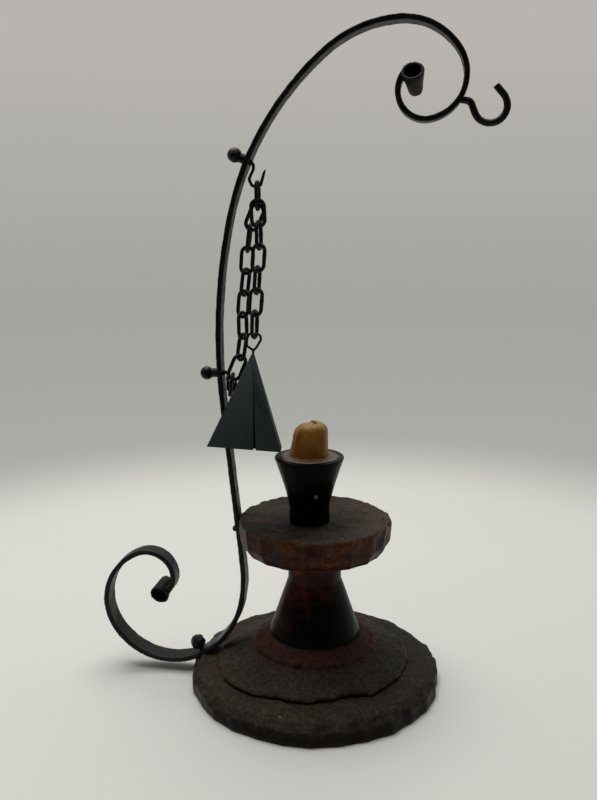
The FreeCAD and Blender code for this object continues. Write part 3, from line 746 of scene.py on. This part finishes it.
def finished(name: str, mesh: bmesh.types.BMesh, finish: Finish, body: str, nodes: tuple[str, ...] = (),
             sharp: float = 40.0) -> None:
    """Turn a mesh in millimetres into a piece of the model.

    Args:
        name: The piece's name.
        mesh: The finished shape, which is freed.
        finish: Its surface.
        body: The CAD body that it rides on.
        nodes: CAD nodes that it stands for.
        sharp: Edges that turn by more than this many degrees stay sharp.
    """
    bmesh.ops.transform(mesh, matrix=Matrix.Scale(MM, 4), verts=mesh.verts[:])
    data = bpy.data.meshes.new(name)
    mesh.to_mesh(data)
    mesh.free()
    data.shade_smooth()
    data.set_sharp_from_angle(angle=math.radians(sharp))
    data.materials.append(PALETTE.of(finish))
    piece = bpy.data.objects.new(name, data)
    bpy.context.scene.collection.objects.link(piece)
    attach(piece, body)
    if nodes:
        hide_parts(*nodes)
    LOG.info("%s: %d vertices on %s", name, len(data.vertices), body)


def cad_copy(node: bpy.types.Object) -> bmesh.types.BMesh:
    """Copy a CAD node's mesh in millimetres, its loose triangles merged."""
    mesh = bmesh.new()
    mesh.from_mesh(node.data)
    bmesh.ops.transform(mesh, matrix=Matrix.Scale(1 / MM, 4), verts=mesh.verts[:])
    bmesh.ops.remove_doubles(mesh, verts=mesh.verts[:], dist=WELD)
    return mesh


@dataclass(frozen=True)
class Outline:
    """Outline of a hewn board: corners at their own shares of the radius, with a hollow cut between each two."""

    count: int
    shares: tuple[float, ...]
    hollow: float

    def corner(self, number: int) -> float:
        """Share of the radius at a corner."""
        number %= self.count
        return self.shares[(number + number // len(self.shares)) % len(self.shares)]

    def reach(self, angle: float, radius: float) -> float:
        """Radius of the outline at an angle.

        Args:
            angle: Angle about the Z axis in radians. The first corner lies towards -X.
            radius: The outline's nominal radius in millimetres.

        Returns:
            The radius of the chord between the two corners, less the hollow of the cut.
        """
        step = math.tau / self.count
        turn = ((angle - math.pi) / step) % self.count
        number = int(turn)
        past = (turn - number) * step
        first, second = self.corner(number), self.corner(number + 1)
        chord = first * second * math.sin(step) / (first * math.sin(past) + second * math.sin(step - past))
        return radius * chord - self.hollow * math.sin(math.pi * (turn - number))


# Sub-assemblies


@dataclass(frozen=True)
class HewnBoard:
    """A round board chopped with a gouge: one tier of the base, or the drip plate."""

    name: str
    node: str
    finish: Finish
    profile: tuple[Point, ...]
    low: Outline
    high: Outline
    low_until: float
    high_from: float
    radius: float
    rim_height: float
    wobble: float
    wave: float
    gouge: float
    gouge_depth: float
    chip: float
    steps: int = 300
    step: float = 1.1

    def carve(self, radius: float, angle: float, height: float) -> Place:
        """Follow the hewn outlines, and let the edge of the side wander up and down."""
        share = min(1.0, max(0.0, (height - self.low_until) / (self.high_from - self.low_until)))
        outline = self.low.reach(angle, radius) * (1 - share) + self.high.reach(angle, radius) * share
        fade = smooth(radius / self.radius * 1.4 - 0.2)
        place = about(angle, self.radius)
        edge = math.exp(-((height - self.rim_height) / 2.2) ** 2) * smooth((radius / self.radius - 0.8) * 6)
        lift = self.wobble * edge * (ripple(place, 9.0, 3.1) + 0.5 * ripple(place, 4.0, 8.3))
        nick = self.chip * edge * max(0.0, ripple(place, 6.5, 5.7) - 0.15)
        return radius + (outline - radius) * fade - nick, angle, height + min(lift, 0.35 * self.wobble) - nick * 0.6

    def build(self) -> None:
        """Spin the board, carve its outline and go over its faces with the gouge."""
        mesh = spun(dense(list(self.profile), self.step), self.steps)
        reshape(mesh, self.carve)
        floor = self.profile[0][1] + 0.4

        def cut(place: Vector) -> float:
            """Depth of the tool's marks, none on the underside or near the axis."""
            if place.z < floor:
                return 0.0
            out = smooth(math.hypot(place.x, place.y) / self.radius * 3 - 0.6)
            marks = self.wave * ripple(place, 13.0) + 0.4 * self.wave * ripple(place, 5.0, 2.0)
            return out * (marks - self.gouge_depth * scoop(place, self.gouge))

        roughen(mesh, cut)
        finished(self.name, mesh, self.finish, "stand", (self.node,), sharp=50.0)


@dataclass(frozen=True)
class Base:
    """Two hewn boards under the neck."""

    facets: int = 30
    shares: tuple[float, ...] = (1.0, 0.994, 0.998, 0.99, 1.0, 0.996, 0.989, 0.997, 1.0, 0.993)
    tier_shares: tuple[float, ...] = (
        1.0, 1.03, 1.04, 1.065, 1.05, 1.03, 0.963, 0.97, 0.95, 0.93,
        0.882, 0.99, 0.972, 0.977, 0.98, 0.99, 0.985, 1.01, 0.98, 1.0,
        1.015, 0.985, 0.97, 1.0, 1.02, 0.99, 0.985, 1.005, 0.98, 0.99)
    lower_radius: float = 75.6
    upper_radius: float = 57.5

    def build(self) -> None:
        """Build both boards."""
        wall = Outline(self.facets, self.shares, 0.12)
        lip = Outline(self.facets, self.tier_shares, 0.3)
        smooth_wall = Outline(self.facets, self.shares, 0.0)
        HewnBoard(
            "base_lower_tier_hewn", "base_lower_tier", BASE_PINE,
            ((0, 0), (74.6, 0), (75.4, 0.7), (75.6, 2.0), (75.6, 7.8), (75.1, 8.7), (70.6, 12.2), (69.4, 12.6),
             (57.5, 13.5), (0, 13.5)),
            wall, smooth_wall, low_until=8.5, high_from=12.3, radius=self.lower_radius, rim_height=8.6,
            wobble=1.8, wave=0.5, gouge=12.0, gouge_depth=0.6, chip=2.2).build()
        HewnBoard(
            "base_upper_tier_hewn", "base_upper_tier", BASE_PINE,
            ((0, 13.5), (55.9, 13.5), (56.9, 14.0), (57.5, 14.8), (57.3, 15.8), (56.3, 16.6), (38.6, 24.2),
             (37.8, 24.9), (37.1, 26.0), (36.2, 27.3), (35.0, 27.6), (28.5, 31.4), (0, 31.4)),
            lip, smooth_wall, low_until=16.3, high_from=24.6, radius=self.upper_radius, rim_height=15.8,
            wobble=0.8, wave=0.55, gouge=10.0, gouge_depth=0.65, chip=1.0).build()


@dataclass(frozen=True)
class DripPlate:
    """The round plate between the neck and the cup, its side chopped into facets."""

    facets: int = 20
    shares: tuple[float, ...] = (
        1.0, 1.005, 0.995, 0.985, 0.975, 0.972, 0.975, 0.985, 0.995, 1.005,
        1.016, 1.01, 0.955, 0.985, 0.975, 0.962, 0.968, 0.98, 0.995, 1.005)
    radius: float = 45.2

    def build(self) -> None:
        """Build the plate."""
        side = Outline(self.facets, self.shares, 0.25)
        HewnBoard(
            "drip_plate_hewn", "drip_plate", PLATE_PINE,
            ((0, 84.4), (40.0, 84.4), (40.9, 84.9), (42.6, 87.2), (44.2, 90.4), (45.1, 101.6), (44.9, 102.7),
             (44.0, 103.3), (42.0, 103.4), (0, 103.4)),
            side, side, low_until=90.4, high_from=103.4, radius=self.radius, rim_height=102.6,
            wobble=0.5, wave=0.3, gouge=12.5, gouge_depth=0.9, chip=1.6).build()


@dataclass(frozen=True)
class Neck:
    """The turned neck between base and plate."""

    foot: float = 31.2
    waist: float = 65.4
    top: float = 84.6
    foot_radius: float = 27.0
    waist_radius: float = 15.9
    bow_radius: float = 21.4
    bow_height: float = 49.4
    bow_steps: int = 16
    lip: float = 1.6

    def build(self) -> None:
        """Spin the neck's bowed profile and leave the lathe's slight waves on it."""
        profile: list[Point] = [(0, self.foot), (self.foot_radius - 0.5, self.foot),
                                (self.foot_radius - 0.4, self.foot + self.lip),
                                (self.foot_radius, self.foot + self.lip + 0.5)]
        profile += bowed(Vector(profile[-1]), Vector((self.bow_radius, self.bow_height)),
                         Vector((self.waist_radius, self.waist)), self.bow_steps)
        profile += [(self.waist_radius, self.top), (0, self.top)]
        mesh = spun(dense(profile, 1.4), 128)
        roughen(mesh, lambda place: 0.22 * ripple(place, 12.0, 4.0) + 0.08 * ripple(place, 3.5, 1.0))
        finished("neck_turned", mesh, NECK_PINE, "stand", ("neck_column",))


@dataclass(frozen=True)
class Candle:
    """The cup, the stub that stands in it, its wick and the wax that ran out on the rim."""

    centre: Vector
    foot: float = 103.0
    rim: float = 142.5
    top: float = 161.5
    stub_radius: float = 11.0
    bore_radius: float = 11.2
    seat: float = 124.5
    bow_steps: int = 14
    shares: tuple[float, ...] = (1.3, 1.3, 1.4, 1.2, 0.8, 0.55, 0.6, 0.7, 0.9, 1.15, 1.25, 1.3)

    def placed(self, mesh: bmesh.types.BMesh) -> bmesh.types.BMesh:
        """Move a mesh from the Z axis to the cup's centre."""
        bmesh.ops.translate(mesh, vec=self.centre, verts=mesh.verts[:])
        return mesh

    def cup(self) -> None:
        """Spin the flared cup with its rounded rim and its bore."""
        foot, waist, flare = Vector((11.8, 108.4)), Vector((13.2, 118.9)), Vector((19.3, 139.5))
        profile: list[Point] = [(0, self.foot), (11.5, self.foot), (11.8, self.foot + 0.8), (foot.x, foot.y)]
        profile += bowed(foot, waist, flare, self.bow_steps, pull=0.4)
        profile += [(19.9, 141.2), (20.0, 141.9), (19.7, 142.35), (19.1, self.rim), (self.bore_radius + 0.6, self.rim),
                    (self.bore_radius, self.rim - 0.5), (self.bore_radius, self.seat), (0, self.seat)]
        mesh = spun(dense(profile, 1.2), 112)
        roughen(mesh, lambda place: 0.1 * ripple(place, 9.0, 6.0))
        finished("candle_cup_turned", self.placed(mesh), CUP_LACQUER, "stand", ("candle_cup",))

    def stub(self) -> None:
        """Spin the stub, melt its top round and let a few runs stand on its side."""
        profile: list[Point] = [(0, self.seat), (10.6, self.seat), (11.0, self.seat + 1), (11.0, 157.0), (10.6, 159.2),
                                (9.6, 160.8), (8.2, 161.8), (6.6, 162.2), (4.6, 162.0), (2.6, 161.5), (0, 161.2)]
        mesh = spun(dense(profile, 0.55), 96)

        def melt(radius: float, angle: float, height: float) -> Place:
            """Runs on the side, a spread foot and a top that sank to one side."""
            around = about(angle, self.stub_radius)
            up = smooth((height - self.rim) / (self.top - self.rim))
            above = smooth((height - self.rim + 1) / 2)
            run = above * (0.5 * ripple(around, 3.6, 2.2) - 0.35) * (1 - 0.4 * up)
            left = smooth(-math.cos(angle + 0.3) * 1.4)
            spread = (0.6 + 0.9 * left) * above * math.exp(-max(0.0, height - self.rim) / 3.0)
            ridge = 0.7 * above * math.exp(-((angle + 0.55) / 0.16) ** 2)
            sink = up * (1.9 * left * radius / self.stub_radius + 0.7 * abs(ripple(around, 5.0, 7.7)))
            side = smooth(radius / 8.0)
            return radius + (run + spread + ridge - 2.1 * left * up) * side, angle, height - sink * side

        reshape(mesh, melt)
        roughen(mesh, lambda place: 0.12 * ripple(place, 2.6, 5.1))
        finished("candle_stub_melted", self.placed(mesh), STUB_WAX, "stand", ("candle_stub",), sharp=60.0)

    def wick(self) -> None:
        """Draw the wick up ring by ring, leaning and thinning to a burnt hook."""
        mesh = bmesh.new()
        bmesh.ops.create_circle(mesh, cap_ends=True, segments=12, radius=0.75,
                                matrix=Matrix.Translation((4.2, 0.8, self.top - 6)))
        edges = mesh.edges[:]
        steps = ((0, 0, 5.4, 1.0), (-0.2, 0, 0.6, 1.05), (-0.5, 0, 0.5, 0.95), (-0.7, -0.1, 0.35, 1.1),
                 (-0.7, -0.1, 0.3, 0.9), (-0.5, 0, 0.2, 0.95), (-0.3, 0, 0.2, 0.75), (-0.1, 0, 0.1, 0.4))
        for x, y, rise, width in steps:
            ring, edges = drawn_on(mesh, edges, (x, y, rise))
            middle = sum((vertex.co for vertex in ring), Vector()) / len(ring)
            bmesh.ops.scale(mesh, vec=(width, width, 1.0), verts=ring, space=Matrix.Translation(-middle))
        bmesh.ops.contextual_create(mesh, geom=edges)
        bmesh.ops.recalc_face_normals(mesh, faces=mesh.faces[:])
        finished("candle_wick_burnt", self.placed(mesh), WICK_COTTON, "stand", ("candle_wick",))

    def spill(self) -> None:
        """Spin a flat bead round the stub and pull its outer edge to where the wax ran."""
        inner, low = self.stub_radius - 0.2, self.rim - 0.05
        profile: list[Point] = [(inner, low), (inner, low + 1.15), (inner + 1.4, low + 1.1), (inner + 3.4, low + 0.95),
                                (inner + 4.7, low + 0.7), (inner + 5.2, low + 0.3), (inner + 5.0, low), (inner, low)]
        mesh = spun(dense(profile, 0.5), 144)

        def run(radius: float, angle: float, height: float) -> Place:
            """Spread the bead by the shares of its reach, eased between them."""
            turn = ((angle + math.pi / 2) / math.tau * len(self.shares)) % len(self.shares)
            number, past = int(turn), smooth(turn % 1.0)
            share = self.shares[number] * (1 - past) + self.shares[(number + 1) % len(self.shares)] * past
            share *= 1 + 0.1 * ripple(about(angle, radius), 3.0, 9.1)
            return inner + (radius - inner) * share, angle, height

        reshape(mesh, run)
        finished("wax_spill_set", self.placed(mesh), SPILL_WAX, "stand", ("wax_spill",), sharp=60.0)

    def build(self) -> None:
        """Build the cup and what stands in it."""
        for make in (self.cup, self.stub, self.wick, self.spill):
            make()


@dataclass(frozen=True)
class Swelling:
    """Metal gathered by the smith: points near a line stand further out from it than in the CAD solid."""

    start: Place
    end: Place
    reach: float
    start_rise: float
    end_rise: float

    def move(self, place: Vector) -> Vector:
        """Say how far a point moves out.

        Args:
            place: The point, in millimetres.

        Returns:
            Its move away from the nearest spot of the line, none beyond the reach.
        """
        start, run = Vector(self.start), Vector(self.end) - Vector(self.start)
        share = min(1.0, max(0.0, (place - start).dot(run) / run.dot(run)))
        out = place - start - run * share
        rise = self.start_rise + (self.end_rise - self.start_rise) * share
        return out.normalized() * rise * smooth((self.reach - out.length) / (0.35 * self.reach))


@dataclass(frozen=True)
class Forging:
    """A forged piece: its CAD solid gone over with the hammer, its arrises worn round."""

    node: str
    body: str
    finish: Finish
    grain: float
    blow: float
    depth: float
    facet: float = 0.0
    rounds: int = 2
    swell: float = 0.0
    swellings: tuple[Swelling, ...] = ()

    def build(self, node: bpy.types.Object) -> None:
        """Remesh a copy of the CAD solid evenly, round it and hammer it.

        Args:
            node: The CAD node's object.
        """
        mesh = cad_copy(node)
        data = bpy.data.meshes.new(self.node + "_stock")
        mesh.to_mesh(data)
        mesh.free()
        stock = bpy.data.objects.new(self.node + "_stock", data)
        bpy.context.scene.collection.objects.link(stock)
        remesh = stock.modifiers.new("even", "REMESH")
        remesh.mode = "VOXEL"
        remesh.voxel_size = self.grain
        even = stock.evaluated_get(bpy.context.evaluated_depsgraph_get()).to_mesh()
        mesh = bmesh.new()
        mesh.from_mesh(even)
        bpy.data.objects.remove(stock)
        bpy.data.meshes.remove(data)
        for _ in range(self.rounds):
            bmesh.ops.smooth_vert(mesh, verts=mesh.verts[:], factor=0.5, use_axis_x=True, use_axis_y=True,
                                  use_axis_z=True)
        bmesh.ops.recalc_face_normals(mesh, faces=mesh.faces[:])

        def hammer(place: Vector) -> float:
            """Shallow dents, and flats where the smith faceted the piece."""
            dents = self.depth * (ripple(place, self.blow) + 0.5 * ripple(place, self.blow / 2.3, 3.0))
            return self.swell + dents - self.facet * scoop(place, self.blow)

        for swelling in self.swellings:
            for vertex in mesh.verts:
                vertex.co += swelling.move(vertex.co)
        roughen(mesh, hammer)
        finished(self.node + "_forged", mesh, self.finish, self.body, (self.node,), sharp=65.0)


@dataclass(frozen=True)
class Link:
    """One chain link: round wire bent to a long oval and welded shut."""

    length: float = 16.95
    width: float = 9.4
    wire: float = 2.2
    sides: int = 14
    bend_steps: int = 14
    run_steps: int = 5

    def shape(self, seed: float) -> bmesh.types.BMesh:
        """Draw the wire round the link.

        Args:
            seed: Shifts the noise, so that no two links are alike.

        Returns:
            The link about the origin, long along Z and flat in the XZ plane.
        """
        turn = (self.width - self.wire) / 2
        half = (self.length - self.width) / 2
        mesh = bmesh.new()
        bmesh.ops.create_circle(mesh, cap_ends=False, segments=self.sides, radius=self.wire / 2,
                                matrix=Matrix.Translation((turn, 0, -half)))
        edges = mesh.edges[:]
        for side in (1, -1):
            for _ in range(self.run_steps):
                ring, edges = drawn_on(mesh, edges, (0, 0, side * 2 * half / self.run_steps))
            grown = bmesh.ops.spin(mesh, geom=edges + ring, cent=(0, 0, side * half), axis=(0, -1, 0),
                                   angle=math.pi, steps=self.bend_steps)["geom_last"]
            edges = [item for item in grown if isinstance(item, bmesh.types.BMEdge)]
        bmesh.ops.remove_doubles(mesh, verts=mesh.verts[:], dist=0.02)
        bmesh.ops.recalc_face_normals(mesh, faces=mesh.faces[:])

        def weld(place: Vector) -> float:
            """Hammered wire, thickened at the weld in one side."""
            lump = 0.14 * math.exp(-((place.z - 0.8) / 1.6) ** 2) if place.x > 0 else 0.0
            return 0.06 * ripple(place, 2.2, seed) + 0.03 * ripple(place, 1.0, seed + 5) + lump

        roughen(mesh, weld)
        return mesh

    def build(self, node: bpy.types.Object, body: str, seed: float) -> None:
        """Hang the link where its CAD node is.

        Args:
            node: The CAD node's object.
            body: The body that carries it.
            seed: Shifts the noise.
        """
        mesh = self.shape(seed)
        bmesh.ops.transform(mesh, matrix=self.stance(node), verts=mesh.verts[:])
        finished(node.name + "_wire", mesh, CHAIN_IRON, body, (node.name,))

    @staticmethod
    def stance(node: bpy.types.Object) -> Matrix:
        """Place and turn of a link, from the middle and the three chief directions of its CAD surface.

        Args:
            node: The CAD node's object.

        Returns:
            The matrix that takes the link from the origin to its node, in millimetres.
        """
        data = node.data
        data.calc_loop_triangles()
        corners = np.array([vertex.co for vertex in data.vertices], float) / MM
        faces = np.array([triangle.vertices for triangle in data.loop_triangles])
        a, b, c = (corners[faces[:, place]] for place in range(3))
        areas = np.linalg.norm(np.cross(b - a, c - a), axis=1)
        middles = (a + b + c) / 3
        centre = (middles * areas[:, None]).sum(0) / areas.sum()
        spread = (middles - centre) * np.sqrt(areas)[:, None]
        _, ways = np.linalg.eigh(spread.T @ spread)
        long, wide = ways[:, 2], ways[:, 1]
        long = long * math.copysign(1.0, long[2])
        turn = Matrix((wide, np.cross(long, wide), long)).transposed().to_4x4()
        return Matrix.Translation(Vector(centre)) @ turn


@dataclass(frozen=True)
class Hood:
    """The snuffer's folded sheet, its cut edges and folds worn round."""

    wear: float = 0.14
    wear_steps: int = 2
    fold: float = 25.0

    def build(self, node: bpy.types.Object) -> None:
        """Bevel every fold and cut edge of a copy of the CAD sheet.

        Args:
            node: The hood's CAD node.
        """
        mesh = cad_copy(node)
        bmesh.ops.dissolve_limit(mesh, angle_limit=math.radians(1), verts=mesh.verts[:], edges=mesh.edges[:])
        folds = [edge for edge in mesh.edges if edge.calc_face_angle(0.0) > math.radians(self.fold)]
        bmesh.ops.bevel(mesh, geom=folds, offset=self.wear, segments=self.wear_steps, profile=0.5, affect="EDGES",
                        material=-1, clamp_overlap=True)
        finished("snuffer_hood_folded", mesh, HOOD_IRON, "snuffer", (node.name,))


@dataclass(frozen=True)
class SeamFlap:
    """The hidden edge of the snuffer's sheet, tucked behind its open seam; its near-black finish is painted shade in
    the seam.
    """

    side: float = 40.0
    height: float = 51.8
    tip: float = 1.8
    sheet: float = 0.7
    tilt_front: float = 10.85
    tilt_side: float = 3.24
    turn: float = 8.0
    seam_share: float = 0.65
    start: float = 0.27
    end: float = 0.985
    behind: float = 0.15

    def build(self, hood: bpy.types.Object) -> None:
        """Taper a thin block behind the seam and tilt it with the hood.

        Args:
            hood: The hood's CAD node.
        """
        mesh = bmesh.new()
        bmesh.ops.create_cube(mesh, size=1.0)
        slope = (self.side - self.tip) / 2
        for vertex in mesh.verts:
            across, back, up = vertex.co + Vector((0.0, 0.5, 0.5))
            share = self.end + (self.start - self.end) * up
            vertex.co = (self.side * (self.seam_share - 0.5) * share + across * 2 * (0.6 + 1.8 * share),
                         -self.tip / 2 - slope * share + self.sheet * 1.07 + self.behind + back * self.sheet,
                         -self.height * share)
        bmesh.ops.recalc_face_normals(mesh, faces=mesh.faces[:])
        swing = (Matrix.Rotation(math.radians(self.tilt_side), 3, "Y")
                 @ Matrix.Rotation(math.radians(-self.tilt_front), 3, "X")
                 @ Matrix.Rotation(math.radians(self.turn), 3, "Z"))
        axis = swing @ Vector((0, 0, 1))
        corners = [vertex.co / MM for vertex in hood.data.vertices]
        top = max(corner.dot(axis) for corner in corners)
        tip = [corner for corner in corners if corner.dot(axis) > top - WELD]
        place = sum(tip, Vector()) / len(tip)
        bmesh.ops.transform(mesh, matrix=Matrix.Translation(place) @ swing.to_4x4(), verts=mesh.verts[:])
        # Near-black painted shade behind the seam.
        finished("snuffer_seam_flap", mesh, SEAM_SHADE_IRON, "snuffer")


@dataclass(frozen=True)
class Ironwork:
    """The scroll arm with its end hook, its nails, the chain and the snuffer."""

    # The links' seeds count on from here, so that each has its own noise.
    first_seed: int = 9

    def build(self, nodes: dict[str, bpy.types.Object], bodies: dict[str, list[str]]) -> None:
        """Forge every iron piece where its node is.

        Args:
            nodes: CAD nodes by name.
            bodies: The names of each body's nodes.
        """
        forgings = (
            Forging("scroll_arm", "stand", ARM_IRON, grain=0.55, blow=7.0, depth=0.16, swellings=(
                Swelling((-95.6, -8.0, 51.4), (-94.0, 7.0, 53.2), 8.5, 1.3, 0.6),)),
            Forging("end_hook", "stand", ARM_IRON, grain=0.35, blow=3.5, depth=0.1),
            Forging("upper_hook_nail", "stand", ARM_IRON, grain=0.24, blow=3.0, depth=0.1, facet=0.12, swell=0.12,
                    swellings=(Swelling((-44.4, 0, 311.0), (-38.4, 0, 308.6), 5.5, 0.25, 1.0),)),
            Forging("lower_hook_nail", "stand", ARM_IRON, grain=0.24, blow=3.0, depth=0.1, facet=0.12, swell=0.12,
                    swellings=(Swelling((-63.2, 0, 188.6), (-56.3, 0, 188.8), 5.5, 0.5, 1.0),)),
            Forging("plate_nail", "stand", ARM_IRON, grain=0.24, blow=2.0, depth=0.08, facet=0.1),
            Forging("base_nail", "stand", ARM_IRON, grain=0.3, blow=4.4, depth=0.15, facet=0.8, swell=0.5, swellings=(
                Swelling((-73.6, 0, 16.0), (-73.6, 0, 18.5), 7.0, 0.1, 0.7),)),
            Forging("snuffer_bail", "snuffer", CHAIN_IRON, grain=0.18, blow=1.6, depth=0.04, swell=0.12),
        )
        for forging in forgings:
            forging.build(nodes[forging.node])
        Hood().build(nodes["snuffer_hood"])
        SeamFlap().build(nodes["snuffer_hood"])
        links = [(name, body) for body, names in bodies.items() for name in sorted(names) if "link" in name]
        for seed, (name, body) in enumerate(links, start=self.first_seed):
            Link().build(nodes[name], body, float(seed))


# Studio


@dataclass(frozen=True)
class Studio:
    """Pale floor, soft light and the camera at the photograph's angle."""

    photo_height: float = 800.0
    focal_pixels: float = 850.0
    azimuth: float = 0.1484
    tilt: float = 0.2023
    roll: float = 0.0048
    distance: float = 480.38
    height: float = 272.57
    sideways: float = -9.19
    sensor: float = 36.0
    floor_radius: float = 2600.0
    floor_near: float = 360.0
    floor_far: float = 635.0
    floor_colour: str = "#d9d8d2"
    floor_cloud: str = "#c9c8c2"
    floor_blotch: float = 120.0
    lamp_colour: str = "#fbfbf8"
    backdrop_low: str = "#abaca6"
    backdrop_middle: str = "#a3a49e"
    backdrop_high: str = "#b8b4b0"
    room_light: float = 0.38
    room_front: float = 0.16

    def camera(self) -> None:
        """Stand the camera where the photograph was taken from."""
        flat = Vector((-math.sin(self.azimuth), math.cos(self.azimuth), 0.0))
        right = Vector((math.cos(self.azimuth), math.sin(self.azimuth), 0.0))
        forward = flat * math.cos(self.tilt) - Vector((0, 0, math.sin(self.tilt)))
        down = forward.cross(right)
        cosine, sine = math.cos(self.roll), math.sin(self.roll)
        right, down = right * cosine + down * sine, down * cosine - right * sine
        place = (-flat * self.distance + Vector((math.cos(self.azimuth), math.sin(self.azimuth), 0.0)) * self.sideways
                 + Vector((0, 0, self.height))) * MM
        lens = bpy.data.cameras.new("photo_camera")
        lens.sensor_width = self.sensor
        lens.lens = self.sensor * self.focal_pixels / self.photo_height
        lens.clip_start, lens.clip_end = 0.01, 20.0
        camera = bpy.data.objects.new("photo_camera", lens)
        turn = Matrix((right, -down, -forward)).transposed().to_4x4()
        camera.matrix_world = Matrix.Translation(place) @ turn
        bpy.context.scene.collection.objects.link(camera)
        bpy.context.scene.camera = camera

    def floor(self) -> None:
        """Lay a round pale floor that fades into the backdrop behind the object."""
        mesh = bmesh.new()
        bmesh.ops.create_circle(mesh, cap_ends=True, segments=96, radius=self.floor_radius * MM)
        data = bpy.data.meshes.new("floor")
        mesh.to_mesh(data)
        mesh.free()
        floor = bpy.data.objects.new("floor", data)
        bpy.context.scene.collection.objects.link(floor)
        material = bpy.data.materials.new("pale_paper_floor")
        add = cleared(material)
        where = add("TexCoord").outputs["Object"]
        reach = add("VectorMath", {0: where}, operation="LENGTH")
        tone = add("TexNoise", {"Vector": where, "Scale": per_mm(self.floor_blotch)})
        cloud = add("MapRange", {"Value": tone, "To Max": 0.12})
        paper = add("Mix", {MIX_FACTOR: cloud, MIX_FIRST: linear(self.floor_colour),
            MIX_SECOND: linear(self.floor_cloud)}, data_type="RGBA")
        lit = add("BsdfDiffuse", {"Color": paper})
        clear = add("BsdfTransparent")
        away = add("MapRange", {"Value": reach, "From Min": self.floor_near * MM, "From Max": self.floor_far * MM},
            interpolation_type="SMOOTHSTEP")
        blend = add("MixShader", {0: away, 1: lit, 2: clear})
        add("OutputMaterial", {"Surface": blend})
        data.materials.append(material)

    def room(self) -> None:
        """Grey backdrop for the eye and for reflections, and an even low light for surfaces."""
        world = bpy.data.worlds.new("studio")
        add = cleared(world)
        way = add("TexCoord").outputs["Generated"]
        height = add("SeparateXYZ", {"Vector": way}).outputs["Z"]
        share = add("MapRange", {"Value": height, "From Min": -0.3, "From Max": 0.25})
        shade = add("ValToRGB", {"Fac": share}, stops=((0.1, self.backdrop_low), (0.38, self.backdrop_middle),
            (0.9, self.backdrop_high)))
        path = add("LightPath")
        seen = add("Math", {0: path.outputs["Is Camera Ray"], 1: path.outputs["Is Glossy Ray"]}, operation="MAXIMUM")
        depth = add("SeparateXYZ", {"Vector": way}).outputs["Y"]
        front = add("MapRange", {"Value": depth, "From Min": -0.75, "From Max": 0.35, "To Min": self.room_front})
        eye = add("Math", {0: front, 1: path.outputs["Is Camera Ray"]}, operation="MAXIMUM")
        low = add("Math", {0: front, 1: self.room_light}, operation="MULTIPLY")
        backdrop = add("Background", {"Color": shade, "Strength": eye})
        light = add("Background", {"Color": linear(self.lamp_colour), "Strength": low})
        both = add("MixShader", {0: seen, 1: light, 2: backdrop})
        add("OutputWorld", {"Surface": both})
        bpy.context.scene.world = world

    def lamp(self, name: str, place: Vector, target: Vector, size: float, power: float) -> None:
        """Hang a square soft lamp.

        Args:
            name: The lamp's name.
            place: Where it hangs, in metres.
            target: What it points at, in metres.
            size: Its side in metres.
            power: Its power in watts.
        """
        light = bpy.data.lights.new(name, "AREA")
        light.shape = "SQUARE"
        light.size = size
        light.energy = power
        lamp = bpy.data.objects.new(name, light)
        lamp.matrix_world = Matrix.Translation(place) @ (target - place).to_track_quat("-Z", "Y").to_matrix().to_4x4()
        bpy.context.scene.collection.objects.link(lamp)

    def build(self) -> None:
        """Set up the whole studio."""
        self.camera()
        self.floor()
        self.room()
        middle = Vector((0, 0, 0.12))
        self.lamp("overhead_box", Vector((-0.2, 0.16, 1.25)), middle, 1.1, 14.6)
        self.lamp("back_box", Vector((0.3, 1.0, 0.8)), middle, 0.8, 0.9)
        view = bpy.context.scene.view_settings
        view.view_transform = "Standard"


def dress_kept_nodes(nodes: dict[str, bpy.types.Object]) -> None:
    """Give the CAD nodes that stay visible their material."""
    screws = nodes["tie_screws"]
    screws.data.materials.clear()
    screws.data.materials.append(PALETTE.of(STEEL))


def main() -> None:
    """Build the looks round the frame."""
    logging.basicConfig(level=logging.INFO, format="%(message)s")
    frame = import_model()
    nodes, bodies = frame["nodes"], frame["record"]["behaviour"]["bodies"]
    cup_low, cup_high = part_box("candle_cup")
    cup_middle = (cup_low + cup_high) / 2 / MM
    Base().build()
    DripPlate().build()
    Neck().build()
    Candle(Vector((cup_middle.x, cup_middle.y, 0.0))).build()
    Ironwork().build(nodes, bodies)
    dress_kept_nodes(nodes)
    Studio().build()


if __name__ == "__main__":
    main()
